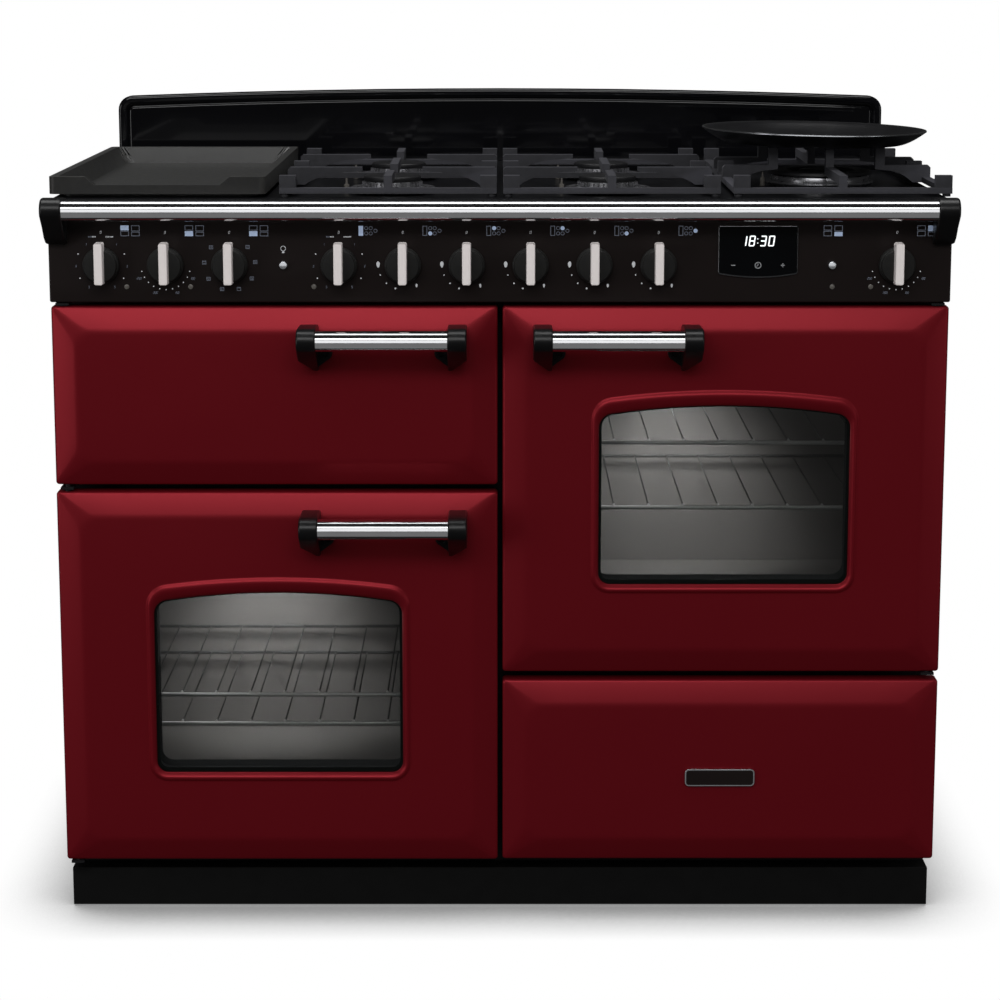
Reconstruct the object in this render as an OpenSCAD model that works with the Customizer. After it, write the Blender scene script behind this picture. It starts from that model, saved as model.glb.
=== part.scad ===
// Freestanding range cooker: a gas hob with five burners and a griddle zone above a side-hung grill,
// two side-hung ovens and a storage drawer. Millimetres: X across, Y front to back, Z up.
// The origin lies on the floor under the middle of the whole outline. Every depth below is
// measured from the plane of the doors' edges, and at_front() moves it into that frame.

/* [Overall] */
// Width over the doors and the control panel
body_w = 1092; // [1086:2:1100]
// Depth from the door edges to the rear of the splashback
body_d = 600; // [598:1:610]
// Height of the hob surface above the floor
hob_z = 905; // [903:1:909]
// Height of the splashback above the hob, at its middle
splash_h = 103; // [90:1:120]
// Height of the splashback above the hob, at its ends
splash_end_h = 92; // [80:1:89]

/* [Doors and drawer] */
// Gap between the left and the right doors
door_gap = 6; // [4:1:8]
// Lower edge of the lower doors
door_z0 = 70; // [68:1:74]
// Upper edge of the upper doors
door_top = 774; // [770:1:775]
// Upper edge of the left oven door
left_door_top = 543.7; // [540:0.1:544]
// Lower edge of the grill door
grill_z0 = 552.5; // [552:0.1:555]
// Lower edge of the right oven door
right_z0 = 315; // [314:1:318]
// Upper edge of the drawer front
drawer_top = 304; // [300:1:305]
// Width of the sloping border of a door
bevel_w = 30; // [24:1:34]
// How far the raised field stands in front of the edge
bevel_d = 10; // [8:1:11]
// Width of both oven windows
window_w = 307; // [290:1:320]
// Rise of the arch over a window
window_rise = 12.5; // [8:0.5:16]
// How far a drawer opens
drawer_travel = 360; // [300:10:380]

/* [Handles and rail] */
// Overall length of a door handle
handle_l = 203; // [190:1:215]
// Radius of a door handle's bar
bar_r = 12.5; // [11:0.5:12.5]
// Radius of the towel rail
rail_r = 13; // [11:0.5:13]

/* [Knobs] */
// Radius of a knob's skirt
knob_r = 22; // [20:0.5:23]
// Length of the grip across a knob
grip_l = 51; // [46:1:54]
// Height of the knobs' axes above the floor
knob_z = 825; // [822:0.5:828]

/* [Hob] */
// Height of the pan supports above the hob surface
support_h = 26; // [24:0.5:27]
// Radius of the wok's rim
wok_r = 145; // [130:1:148]

/* [Hidden] */
$fn = 64;

handle_reach = 75;
front_y = -(body_d - handle_reach) / 2;
half_w = body_w / 2;

// The carcass behind the doors
sheet = 1.5;
frame_y = 50;
frame_t = 2;
frame_w = half_w - 6;
shell_y = frame_y + frame_t;
rear_y = body_d - 8;
plinth_h = 51;
shell_top = hob_z - 25;
panel_y = -4;
panel_z0 = door_top + 5.3;
panel_z1 = shell_top - 0.2;

// Doors: [left, right, bottom, top]
edge_y = 2;
field_y = edge_y - bevel_d;
pan_back_y = 22;
door_back_y = 45;
field_r = 22;
inner_inset = 14;
grill_door = [-half_w, -door_gap / 2, grill_z0, door_top];
left_door = [-half_w, -door_gap / 2, door_z0, left_door_top];
right_door = [door_gap / 2, half_w, right_z0, door_top];
drawer_face = [door_gap / 2, half_w, door_z0, drawer_top];

// A window's foot and height follow from its door
window_share = 0.488;
window_foot_share = 0.248;
glass_lap = 7;
lip_side = 9;
lip_top = 19;
lip_foot = 11;
lip_t = 3;

// Hinge pins stand on brackets in the gaps between the doors
pin_r = 3.5;
pin_gap = 0.05;
pin_l = 14;
pin_inset = 14;
pin_y = 7;
boss_r = 5.5;
plate_t = 3;

// Cavities behind the front frame: [left, right, bottom, top, rear]
cavity_side = 52;
left_cavity = [-half_w + 49, -cavity_side, 112, 502, 460];
right_cavity = [cavity_side, half_w - 49, 356, 742, 460];
grill_cavity = [-half_w + 49, -cavity_side, 590, 742, 440];
drawer_bay = [14, half_w - 14, 78, 296, 0];
baffle_y = 424;
slot_pitch = 58;
slot_l = 40;
slot_drop = 16;
left_shelves = [227, 265];
right_shelves = [509, 592];
shelf_y = 70;

// Handles
bracket_w = 23;
bracket_l = 43;
bar_y = -60;
handle_z = 740;
left_handle_z = 510;
handle_end = 40;

// Rail along the front of the hob
rail_y = -35;
rail_z = hob_z - 11;
rail_half = 522;

// Control panel: the places of the knobs, buttons and lamps along X
spindle_r = 3.95;
bore_r = 4;
spindle_end_y = 18;
knob_gap = 0.6;
knob_x = [-482, -404.4, -326.8, -194.7, -117.4, -40.3, 36.9, 114.2, 191.6, 479.6];
button_x = [-262, 401.6];
button_r = 5;
lamp_x = [-452, -374.6, -225.3, 402.3, 448.8];
lamp_z = 798.5;
clock_x = [264, 359.6];
clock_z = [809.5, 872.3];

// Hob: wells under the pan supports, burners and supports
well_z = hob_z - 7;
support_z = hob_z + support_h;
bar_z0 = hob_z + 4;
bar_z1 = hob_z + 11;
support_w = 264;
support_y = [20, 480];
row_y = [152, 251, 363];
burner_y = [152, 363];
left_x = -136;
centre_x = 136;
wok_x = 416.5;
wok_y = 250;
wok_centre_x = 407.7;
lug_h = 22;
wok_base_r = 112;
griddle_x = [-547, -284];
griddle_y = [15, 520];
zone_x = [-537, -284];

module at_front() {
    translate([0, front_y, 0]) children();
}

module block(x0, x1, y0, y1, z0, z1) {
    translate([x0, y0, z0]) cube([x1 - x0, y1 - y0, z1 - z0]);
}

// A flat outline in X and Z, as thick as y0 to y1
module upright(y0, y1) {
    translate([0, y1, 0]) rotate([90, 0, 0]) linear_extrude(y1 - y0) children();
}

// A flat outline in Y and Z, as long as x0 to x1
module lengthways(x0, x1) {
    translate([x0, 0, 0]) rotate([90, 0, 90]) linear_extrude(x1 - x0) children();
}

// Cylinders along X, and along Y
module rod_x(r, x0, x1, y, z) {
    translate([x0, y, z]) rotate([0, 90, 0]) cylinder(r = r, h = x1 - x0);
}

module rod_y(r, y0, y1, x, z) {
    translate([x, y1, z]) rotate([90, 0, 0]) cylinder(r = r, h = y1 - y0);
}

module rod_z(r, z0, z1, x, y) {
    translate([x, y, z0]) cylinder(r = r, h = z1 - z0);
}

module rounded(w, h, r) {
    square([w - 2 * r, h], center = true);
    square([w, h - 2 * r], center = true);
    for (i = [-1, 1], j = [-1, 1]) translate([i * (w / 2 - r), j * (h / 2 - r)]) circle(r);
}

// The outline of a door, moved inwards by inset
module outline_of(d, inset, r) {
    translate([(d[0] + d[1]) / 2, (d[2] + d[3]) / 2])
        rounded(d[1] - d[0] - 2 * inset, d[3] - d[2] - 2 * inset, r);
}

function arc(cx, cz, r, a0, a1, n, skip = 0) =
    [for (i = [skip:n - skip]) [cx + r * cos(a0 + (a1 - a0) * i / n), cz + r * sin(a0 + (a1 - a0) * i / n)]];

// Outline with an arched top, w wide and h high at its middle, standing on z = 0
function arched(w, h, rise, r_top, r_foot) =
    let (
        half = w / 2,
        big = (half * half + rise * rise) / (2 * rise),
        mid = h - big,
        reach = sqrt(pow(big - r_top, 2) - pow(half - r_top, 2)),
        lean = atan2(reach, half - r_top)
    )
    concat(
        arc(half - r_foot, r_foot, r_foot, -90, 0, 6),
        arc(half - r_top, mid + reach, r_top, 0, lean, 6),
        arc(0, mid, big, lean, 180 - lean, 16, 1),
        arc(r_top - half, mid + reach, r_top, 180 - lean, 180, 6),
        arc(r_foot - half, r_foot, r_foot, 180, 270, 6)
    );

function middle(d) = (d[0] + d[1]) / 2;
function window_h(d) = (d[3] - d[2]) * window_share;
function window_z(d) = d[2] + (d[3] - d[2]) * window_foot_share;

// A door's window outline, grown by side, top and foot
module window_outline(d, side, top, foot) {
    translate([middle(d), window_z(d) - foot])
        polygon(arched(window_w + 2 * side, window_h(d) + top + foot, window_rise, 18 + side, 14 + side));
}

// ---------------------------------------------------------------- carcass

// Floor of the carcass on two cross rails, with a divider between the left and right halves
module base_frame() {
    color("silver") at_front() {
        block(-frame_w + 2, frame_w - 2, shell_y, rear_y - 2, plinth_h + 9, plinth_h + 11);
        for (y = [shell_y + 8, rear_y - 70])
            block(-frame_w + 2, frame_w - 2, y, y + 40, plinth_h, plinth_h + 9);
        block(-1, 1, shell_y, rear_y - 2, plinth_h + 11, shell_top - 130);
    }
}

module side_panels() {
    color("#1c1c1e") at_front()
        for (s = [-1, 1])
            block(s * frame_w - (s > 0 ? 2 : 0), s * frame_w + (s > 0 ? 0 : 2), shell_y, rear_y, plinth_h, shell_top);
}

// Rear sheet with rows of cooling slots and holes for the gas and the cable
module back_panel() {
    color("#9a9c9e") at_front()
        difference() {
            block(-frame_w + 2, frame_w - 2, rear_y - 2, rear_y, plinth_h, shell_top);
            for (i = [-7:7], z = [640, 700])
                translate([i * 60, rear_y, z]) rotate([90, 0, 0]) linear_extrude(6) rounded(40, 6, 2.9);
            rod_y(19, rear_y - 4, rear_y + 2, 215, knob_z - 10);
        }
}

// Kick plate with returns along its top and both sides
module plinth() {
    color("#101010") at_front() {
        block(-half_w + 3, half_w - 3, 24, 26, 2, plinth_h);
        block(-half_w + 3, half_w - 3, 26, shell_y, plinth_h - 2, plinth_h);
        for (s = [-1, 1])
            block(s * (half_w - 4) - 1, s * (half_w - 4) + 1, 26, body_d - 60, 2, plinth_h);
    }
}

// Front sheet with an opening for each cavity and for the drawer
module front_frame() {
    color("#2a2a2c") at_front()
        difference() {
            block(-frame_w, frame_w, frame_y, shell_y, plinth_h, panel_z0 + 90);
            for (c = [left_cavity, right_cavity, grill_cavity, drawer_bay])
                upright(frame_y - 1, shell_y + 1) outline_of(c, 0, 8);
            for (x = knob_x) rod_y(16, frame_y - 1, shell_y + 1, x, knob_z);
            rod_y(10, frame_y - 1, shell_y + 1, 215, knob_z - 10);
        }
}

module levelling_feet() {
    color("#303030") at_front()
        for (x = [-480, 480], y = [90, body_d - 70]) {
            rod_z(22, 0, 8, x, y);
            rod_z(6, 8, plinth_h, x, y);
        }
}

// Gas inlet, cable terminal cover and the bracket that stops the range tipping forwards
module rear_fittings() {
    color("#b08d57") at_front() {
        difference() {
            rod_y(16, rear_y - 32, rear_y + 6, 215, knob_z - 10);
            rod_y(9.3, rear_y - 9, rear_y + 7, 215, knob_z - 10);
        }
        difference() {
            block(-420, -300, rear_y, rear_y + 7.8, 90, 190);
            block(-417, -303, rear_y - 1, rear_y + 5.8, 93, 187);
        }
        difference() {
            block(60, 140, rear_y, rear_y + 5, 70, 110);
            for (x = [75, 125]) rod_y(4.5, rear_y - 1, rear_y + 6, x, 95);
        }
    }
}

// ---------------------------------------------------------------- ovens, grill and drawer bay

// Five-sided enamelled box behind the front frame
module liner_box(c) {
    difference() {
        block(c[0] - sheet, c[1] + sheet, shell_y, c[4] + sheet, c[2] - sheet, c[3] + sheet);
        block(c[0], c[1], shell_y - 1, c[4], c[2], c[3]);
    }
}

// Ribs along both sides of a cavity that carry its shelves
module shelf_ribs(c, heights) {
    for (z = heights, s = [0, 1])
        block(c[s] - (s > 0 ? 9 : 0), c[s] + (s > 0 ? 0 : 9), shell_y + 12, baffle_y, z - 7, z - 3.2);
}

// Rear baffle in front of the fan, with a row of slots along its top
module fan_baffle(c) {
    difference() {
        block(c[0], c[1], baffle_y, baffle_y + 1.5, c[2], c[3]);
        for (i = [-3:3])
            translate([middle(c) + i * slot_pitch, baffle_y + 3, c[3] - slot_drop]) rotate([90, 0, 0])
                translate([0, 0, -1]) linear_extrude(6) rounded(slot_l, 8, 3.9);
    }
}

module oven_liner(c, heights) {
    difference() {
        union() {
            liner_box(c);
            shelf_ribs(c, heights);
            fan_baffle(c);
            rod_y(30, c[4] + sheet, c[4] + 30, middle(c), (c[2] + c[3]) / 2);
        }
        rod_y(4, c[4] - 1, c[4] + 18, middle(c), (c[2] + c[3]) / 2);
    }
}

module left_oven_liner() {
    color("#3a3b3d") at_front() oven_liner(left_cavity, concat(left_shelves, [330, 395]));
}

module right_oven_liner() {
    color("#3a3b3d") at_front() oven_liner(right_cavity, concat(right_shelves, [430, 660]));
}

module grill_liner() {
    color("#3a3b3d") at_front() {
        liner_box(grill_cavity);
        for (s = [0, 1])
            block(grill_cavity[s] - (s > 0 ? 10 : 0), grill_cavity[s] + (s > 0 ? 0 : 10), shell_y + 10, 400, 604, 608);
    }
}

// Wire shelf: a frame of thick wire with thinner wires from front to back
module wire_shelf(c, z) {
    w = 3;
    x0 = c[0] + 4;
    x1 = c[1] - 4;
    for (y = [shelf_y, baffle_y - 20]) rod_x(w, x0, x1, y, z);
    for (x = [x0, x1]) rod_y(w, shelf_y, baffle_y - 20, x, z);
    for (i = [1:9]) rod_y(1.8, shelf_y, baffle_y - 20, x0 + (x1 - x0) * i / 10, z);
}

module oven_shelves() {
    color("#c8c8c8") at_front() {
        for (z = left_shelves) wire_shelf(left_cavity, z);
        for (z = right_shelves) wire_shelf(right_cavity, z);
    }
}

// Pan on the grill's side ribs, with a row of rack bars in it
module grill_pan() {
    x0 = grill_cavity[0] + 4;
    x1 = grill_cavity[1] - 4;
    color("#4a4b4d") at_front() {
        difference() {
            block(x0 + 8, x1 - 8, 66, 410, 609, 640);
            block(x0 + 10, x1 - 10, 68, 408, 611, 641);
        }
        for (s = [0, 1]) block([x0, x1 - 10][s], [x0 + 10, x1][s], 66, 410, 608.2, 610);
        for (i = [1:11]) rod_y(2.5, 67, 409, x0 + 8 + (x1 - x0 - 16) * i / 12, 634);
    }
}

// Two serpentine heating rods under the grill's roof
module grill_element() {
    z = grill_cavity[3] - 14;
    color("#5a4a44") at_front()
        for (x0 = [-470, -270]) {
            for (i = [0:4]) rod_y(4, 110, 380, x0 + i * 42, z);
            rod_x(4, x0, x0 + 42 * 4, 110, z);
            rod_x(4, x0, x0 + 42 * 4, 380, z);
            for (i = [0, 4]) rod_z(4, z, grill_cavity[3], x0 + i * 42, 380);
        }
}

// Rope gaskets round the mouths of the three cavities
module door_seals() {
    color("#202020") at_front()
        for (c = [left_cavity, right_cavity, grill_cavity])
            upright(door_back_y + 0.4, frame_y) difference() {
                outline_of(c, -10, 14);
                outline_of(c, -2, 6);
            }
}

// Plates from the front frame that carry the doors' hinge pins
module hinge_plate(x, z, up, down) {
    block(x - 8, x + 8, pin_y - 7, frame_y, z, z + plate_t);
    if (up) rod_z(pin_r, z + plate_t, z + plate_t + pin_l, x, pin_y);
    if (down) rod_z(pin_r, z - pin_l, z, x, pin_y);
}

module hinge_brackets() {
    x = half_w - pin_inset;
    color("#8c8c8c") at_front() {
        hinge_plate(-x, door_z0 - plate_t - 1, true, false);
        hinge_plate(-x, (left_door_top + grill_z0 - plate_t) / 2, true, true);
        hinge_plate(-x, door_top + 1, false, true);
        hinge_plate(x, right_z0 - plate_t - 1, true, false);
        hinge_plate(x, door_top + 1, false, true);
    }
}

// Fixed channels for the drawer, hung from the front frame and the rear
module drawer_runners() {
    color("#9a9a9a") at_front()
        for (s = [0, 1])
            difference() {
                block([16, half_w - 26][s], [26, half_w - 16][s], shell_y, 540, 150, 180);
                block([18, half_w - 27][s], [27, half_w - 18][s], shell_y - 1, 541, 153, 177);
            }
}

// Fan wheel with radial blades on a shaft
module fan_wheel(c) {
    z = (c[2] + c[3]) / 2;
    translate([middle(c), 0, z]) {
        rod_y(spindle_r, c[4] - 14, c[4] + 14, 0, 0);
        rod_y(14, c[4] - 22, c[4] - 6, 0, 0);
        rod_y(70, c[4] - 7.5, c[4] - 6, 0, 0);
        for (a = [0:30:330]) rotate([0, a, 0]) block(40, 70, c[4] - 24, c[4] - 6, -0.7, 0.7);
    }
}

module oven_fan_left() {
    color("#8a8c8e") at_front() fan_wheel(left_cavity);
}

module oven_fan_right() {
    color("#8a8c8e") at_front() fan_wheel(right_cavity);
}

// ---------------------------------------------------------------- hob

// Pressed tray with a well under each pan support and under the ceramic zone
module hob_tray() {
    wells = [[zone_x[0], zone_x[1]], [left_x - 130, left_x + 130], [centre_x - 130, centre_x + 130],
        [wok_x - 128, wok_x + 121]];
    color("#151518") at_front()
        difference() {
            union() {
                difference() {
                    block(-half_w + 5, half_w - 5, panel_y, body_d - 16, shell_top, hob_z);
                    block(-half_w + 7, half_w - 7, panel_y + 2, body_d - 18, shell_top - 1, hob_z - 2);
                }
                for (w = wells) block(w[0] - 2, w[1] + 2, 24, 508, well_z - 2, hob_z - 1);
            }
            for (w = wells)
                translate([(w[0] + w[1]) / 2, 266, well_z]) linear_extrude(20) rounded(w[1] - w[0], 480, 18);
        }
}

// Upstand along the rear, arched on top, with a rolled border
module splashback() {
    out = arched(body_w, splash_h, splash_h - splash_end_h, 20, 0.5);
    inner = arched(body_w - 28, splash_h - 14, splash_h - splash_end_h, 8, 0.5);
    color("#0c0c0e") at_front() translate([0, 0, hob_z]) {
        upright(body_d - 12, body_d - 9) polygon(out);
        upright(body_d - 18, body_d - 12) difference() {
            polygon(out);
            polygon(inner);
        }
        upright(body_d - 9, body_d) difference() {
            polygon(out);
            translate([0, -1]) polygon(arched(body_w - 4, splash_h - 1, splash_h - splash_end_h, 18, 0.5));
        }
    }
}

// Ceramic heating plate under the griddle
module ceramic_zone() {
    color("#1a1a1c") at_front()
        translate([(zone_x[0] + zone_x[1]) / 2, 266, well_z])
            linear_extrude(4.5) rounded(zone_x[1] - zone_x[0] - 1, 479, 17.5);
}

// Burner body: a flared skirt with a crown, and a spark electrode beside it
module burner(x, y, skirt_r, crown_r) {
    translate([x, y, well_z])
        rotate_extrude() polygon([
            [0, 0], [skirt_r - 10, 0], [skirt_r, 6], [skirt_r, 8], [crown_r + 6, 9],
            [crown_r + 2, 16], [0, 16]
        ]);
    rod_z(2.2, well_z, well_z + 19, x - skirt_r - 4, y);
}

module burner_bases() {
    color("#a9a9ac") at_front() {
        for (x = [left_x, centre_x], y = burner_y) burner(x, y, 54, 32);
        burner(wok_x, wok_y, 70, 24);
        translate([wok_x, wok_y, well_z + 8]) rotate_extrude() polygon([[44, 0], [64, 0], [62, 9], [46, 9]]);
    }
}

module cap(x, y, r, z, h) {
    translate([x, y, z]) rotate_extrude() polygon([[0, 0], [r, 0], [r, h - 2], [r - 3, h], [0, h]]);
}

module burner_caps() {
    color("#18181a") at_front() {
        for (x = [left_x, centre_x], y = burner_y) cap(x, y, 36, well_z + 16, 7);
        cap(wok_x, wok_y, 27, well_z + 16, 7);
        translate([wok_x, wok_y, well_z + 17]) rotate_extrude() polygon([[43, 0], [67, 0], [65, 5], [45, 5]]);
    }
}

// Gas manifold behind the panel, its taps, and the switch bodies of the electric controls
module gas_rail() {
    color("#b08d57") at_front()
        difference() {
            union() {
                for (x = knob_x) block(x - 13, x + 13, panel_y + 2, 34, knob_z - 13, knob_z + 13);
                rod_x(8, knob_x[4] - 16, 215, 40, knob_z - 10);
                rod_y(8, 40, rear_y - 32, 215, knob_z - 10);
                for (x = [for (i = [4:8]) knob_x[i]]) block(x - 10, x + 10, 30, 42, knob_z - 13, knob_z);
            }
            for (x = knob_x) rod_y(bore_r, panel_y + 1, spindle_end_y + 4, x, knob_z);
        }
}

// A pan support that straddles two burners, or one when single is true
module pan_support(cx, w, single) {
    half = w / 2;
    post = 20;
    y0 = support_y[0];
    y1 = support_y[1];
    translate([cx, 0, 0]) {
        // low frame
        for (y = [y0, row_y[1] - 5, y1 - 11])
            if (!(single && y == row_y[1] - 5)) block(-half, half, y, y + 11, bar_z0, bar_z1);
        for (s = [-1, 1]) block(s * half - (s > 0 ? 11 : 0), s * half + (s > 0 ? 0 : 11), y0, y1, bar_z0, bar_z1);
        // posts on the frame, and feet under them
        for (s = [-1, 1], y = [y0 + 1, row_y[1] - 6, y1 - 13]) {
            block(s * (half - post / 2) - post / 2, s * (half - post / 2) + post / 2, y, y + 12, bar_z1, support_z);
            rod_z(5, hob_z + 0.3, bar_z0, s * (half - 6), y + 6);
        }
        // arms from the sides, arched below, and fingers from the front, middle and rear
        for (s = [-1, 1], y = single ? [row_y[1] - 66, row_y[1] + 66] : [row_y[0], row_y[2]])
            translate([0, y - 5, 0]) mirror([s > 0 ? 1 : 0, 0, 0]) arm(half, single ? 62 : 38);
        for (f = single ? [[y0, 160], [340, y1]] : [[y0, 104], [198, 304], [411, y1]])
            block(-5, 5, f[0], f[1], bar_z1 + 4, support_z);
        if (single) lugs();
        for (y = single ? [y0, y1 - 11] : [y0, row_y[1] - 5, y1 - 11])
            block(-5, 5, y, y + 11, bar_z0, bar_z1 + 5);
    }
}

// Lugs on the tips of the arms and fingers, which hold a dish above the support
module lugs() {
    for (s = [-1, 1]) {
        for (y = [row_y[1] - 66, row_y[1] + 66])
            block(s * 68 - 6, s * 68 + 6, y - 5, y + 5, support_z - 3, support_z + lug_h);
        block(-5, 5, row_y[1] + s * 95 - 6, row_y[1] + s * 95 + 6, support_z - 3, support_z + lug_h);
    }
}

// Arm along -X from the side of a pan support to its tip, deep at its root
module arm(half, tip) {
    translate([0, 10, 0]) rotate([90, 0, 0]) linear_extrude(10)
        polygon(concat(
            [[-half, bar_z0], [-half, support_z - 3], [-half + 3, support_z], [-tip, support_z]],
            [[-tip, support_z - 5]],
            [for (i = [1:6]) let (t = i / 6) [-tip - (half - 26 - tip) * t, support_z - 6 - 13 * pow(t, 3)]],
            [[-half + 22, bar_z0]]
        ));
}

module trivet_left() {
    color("#303036") at_front() pan_support(left_x, support_w, false);
}

module trivet_centre() {
    color("#303036") at_front() pan_support(centre_x, support_w, false);
}

module trivet_right() {
    color("#303036") at_front() pan_support(wok_x, support_w + 1, true);
}

// Cast griddle with sloping walls, a low front lip and a foot under its floor
module griddle() {
    w = griddle_x[1] - griddle_x[0];
    l = griddle_y[1] - griddle_y[0];
    floor_z = hob_z + 4;
    rim_z = hob_z + 25;
    color("#2c2c2e") at_front() translate([middle(griddle_x), middle(griddle_y), 0])
        difference() {
            union() {
                translate([0, 0, floor_z]) linear_extrude(rim_z - floor_z) rounded(w, l, 8);
                translate([0, 0, well_z + 5]) linear_extrude(floor_z - well_z - 5) rounded(w - 30, l - 30, 10);
            }
            hull() {
                translate([0, 0, floor_z]) linear_extrude(0.1) rounded(w - 48, l - 48, 14, $fn = 32);
                translate([0, 0, rim_z + 0.1]) linear_extrude(1) rounded(w - 20, l - 20, 10, $fn = 32);
            }
            // low lip at the front
            translate([0, -l / 2 + 6, 0]) hull() {
                block(-76, 76, -20, 20, rim_z - 10, rim_z);
                block(-88, 88, -20, 20, rim_z - 0.1, rim_z + 2);
            }
        }
}

// Shallow dish standing a little askew on the lugs of the right pan support
module wok() {
    base_z = support_z + lug_h + 2.1;
    rim_z = 17.5;
    color("#121214") at_front() translate([wok_centre_x, wok_y, base_z]) rotate([0, 0.9, 0])
        rotate_extrude($fn = 96) polygon(concat(
            [[0, 0], [wok_base_r, 0]],
            [for (i = [1:8]) let (t = i / 8) [wok_base_r + (wok_r - wok_base_r) * t, rim_z * pow(t, 1.5)]],
            [[wok_r - 2, rim_z + 1.5]],
            [for (i = [8:-1:1]) let (t = i / 8)
                [wok_base_r - 2 + (wok_r - wok_base_r - 2) * t, 2.5 + (rim_z - 1.5) * pow(t, 1.5)]],
            [[wok_base_r - 2, 2.5], [0, 2.5]]
        ));
}

// ---------------------------------------------------------------- control panel and rail

module control_panel() {
    color("#0d0b0b") at_front()
        difference() {
            block(-half_w, half_w, panel_y, frame_y, panel_z0, panel_z1);
            block(-half_w + 2, half_w - 2, panel_y + 2, frame_y + 1, panel_z0 + 2, panel_z1 - 2);
            for (x = knob_x) rod_y(bore_r, panel_y - 1, panel_y + 3, x, knob_z);
            for (x = button_x) rod_y(button_r + pin_gap, panel_y - 1, panel_y + 3, x, knob_z);
        }
}

// Glass of the clock, with a bowed lower edge
module clock_display() {
    w = clock_x[1] - clock_x[0];
    h = clock_z[1] - clock_z[0];
    color("#08080a") at_front()
        upright(panel_y - 2.5, panel_y)
            translate([middle(clock_x), clock_z[1]]) mirror([0, 1]) polygon(arched(w, h, 5, 3, 2));
}

module indicator_lenses() {
    color("#7a1a12") at_front()
        for (x = lamp_x) rod_y(3, panel_y - 1.5, panel_y, x, lamp_z);
}

module handrail() {
    color("#d8d8da") at_front() rod_x(rail_r, -rail_half - 12, rail_half + 12, rail_y, rail_z);
}

// Curved ends that carry the rail, tapering downwards
module handrail_brackets() {
    outer = concat(
        [[panel_y, rail_z + 13], [rail_y, rail_z + 15]],
        arc(rail_y, rail_z, 15, 100, 220, 8),
        [[-26, 862], [-16, 852], [panel_y, 850]]
    );
    color("#161616") at_front()
        for (s = [-1, 1])
            difference() {
                translate([s > 0 ? rail_half : -rail_half - 26, 0, 0]) lengthways(0, 26) polygon(outer);
                rod_x(rail_r + 0.1, s > 0 ? rail_half - 1 : -rail_half - 12.1,
                    s > 0 ? rail_half + 12.1 : 1 - rail_half, rail_y, rail_z);
            }
}

// Knob with a round skirt and a straight grip, on a spindle through the panel
module knob(x) {
    at_front() translate([x, panel_y, knob_z]) rotate([90, 0, 0]) {
        color("#141414") translate([0, 0, knob_gap]) cylinder(r = knob_r, h = 8.4);
        color("#141414") translate([0, 0, knob_gap + 8.4]) cylinder(r = knob_r - 2, h = 7);
        color("#c9c9c9") translate([-5.5, 29 - grip_l, knob_gap + 11]) cube([11, grip_l, 16.4]);
        color("#888888") translate([0, 0, panel_y - spindle_end_y]) cylinder(r = spindle_r, h = spindle_end_y + 5);
    }
}

module knob_grill() { knob(knob_x[0]); }
module knob_left_oven() { knob(knob_x[1]); }
module knob_left_function() { knob(knob_x[2]); }
module knob_griddle_zone() { knob(knob_x[3]); }
module knob_gas_front_left() { knob(knob_x[4]); }
module knob_gas_rear_left() { knob(knob_x[5]); }
module knob_gas_rear_centre() { knob(knob_x[6]); }
module knob_gas_front_centre() { knob(knob_x[7]); }
module knob_gas_wok() { knob(knob_x[8]); }
module knob_right_oven() { knob(knob_x[9]); }

// Push button that travels 3 mm into the panel
module button(x) {
    color("#c4c4c6") at_front() {
        rod_y(button_r, panel_y - 5, panel_y + 14, x, knob_z);
        rod_y(button_r + 2, panel_y + 2.2, panel_y + 5, x, knob_z);
    }
}

module button_light() { button(button_x[0]); }
module button_timer() { button(button_x[1]); }

// ---------------------------------------------------------------- doors and drawer

// Raised field with sloping borders; t moves every face inwards, for the hollow
module field_shape(d, t) {
    hull() {
        upright(edge_y + t, pan_back_y + (t > 0 ? 1 : 0)) outline_of(d, t, 4, $fn = 32);
        upright(field_y + t, field_y + t + 0.5) outline_of(d, bevel_w + t / 2, field_r, $fn = 32);
    }
}

// Enamelled outer pan of a door
module door_pan(d) {
    difference() {
        field_shape(d, 0);
        field_shape(d, sheet);
    }
}

// The same with a window in a raised lip
module window_pan(d) {
    difference() {
        union() {
            door_pan(d);
            upright(field_y - lip_t, field_y + 1) window_outline(d, lip_side, lip_top, lip_foot);
        }
        upright(field_y - lip_t - 1, pan_back_y + 1) window_outline(d, 0, 0, 0);
    }
}

// Clearance for the hinge pins, through the edges of a pan
module pin_clearance(d, side) {
    x = side < 0 ? d[0] + pin_inset : d[1] - pin_inset;
    for (z = [d[2] - 1, d[3] - 5]) rod_z(5.5, z, z + 6, x, pin_y);
}

// Back flange, inner tub and hinge bosses of a door hung on one side
module inner_door(d, side) {
    x = side < 0 ? d[0] + pin_inset : d[1] - pin_inset;
    tub = inner_inset;
    difference() {
        union() {
            upright(pan_back_y, pan_back_y + 2) outline_of(d, 1, 4);
            upright(pan_back_y + 2, door_back_y) outline_of(d, tub, 10);
            for (z = [d[2] + 7.5, d[3] - 21]) {
                rod_z(boss_r, z, z + 13.5, x, pin_y);
                block(x - 5, x + 5, pin_y, pan_back_y, z, z + 13.5);
            }
        }
        upright(pan_back_y - 0.5, door_back_y - sheet) outline_of(d, tub + 8, 6);
        for (z = [d[2] + 1, d[3] - 16]) rod_z(pin_r + pin_gap, z, z + 15, x, pin_y);
    }
}

module window_door(d, side) {
    difference() {
        union() {
            inner_door(d, side);
            upright(field_y + sheet + 0.2, door_back_y) window_outline(d, 9.5, 9.5, 9.5);
        }
        upright(field_y, door_back_y - sheet) window_outline(d, 8, 8, 8);
        upright(field_y, door_back_y + 1) window_outline(d, 0, 0, 0);
    }
}

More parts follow.
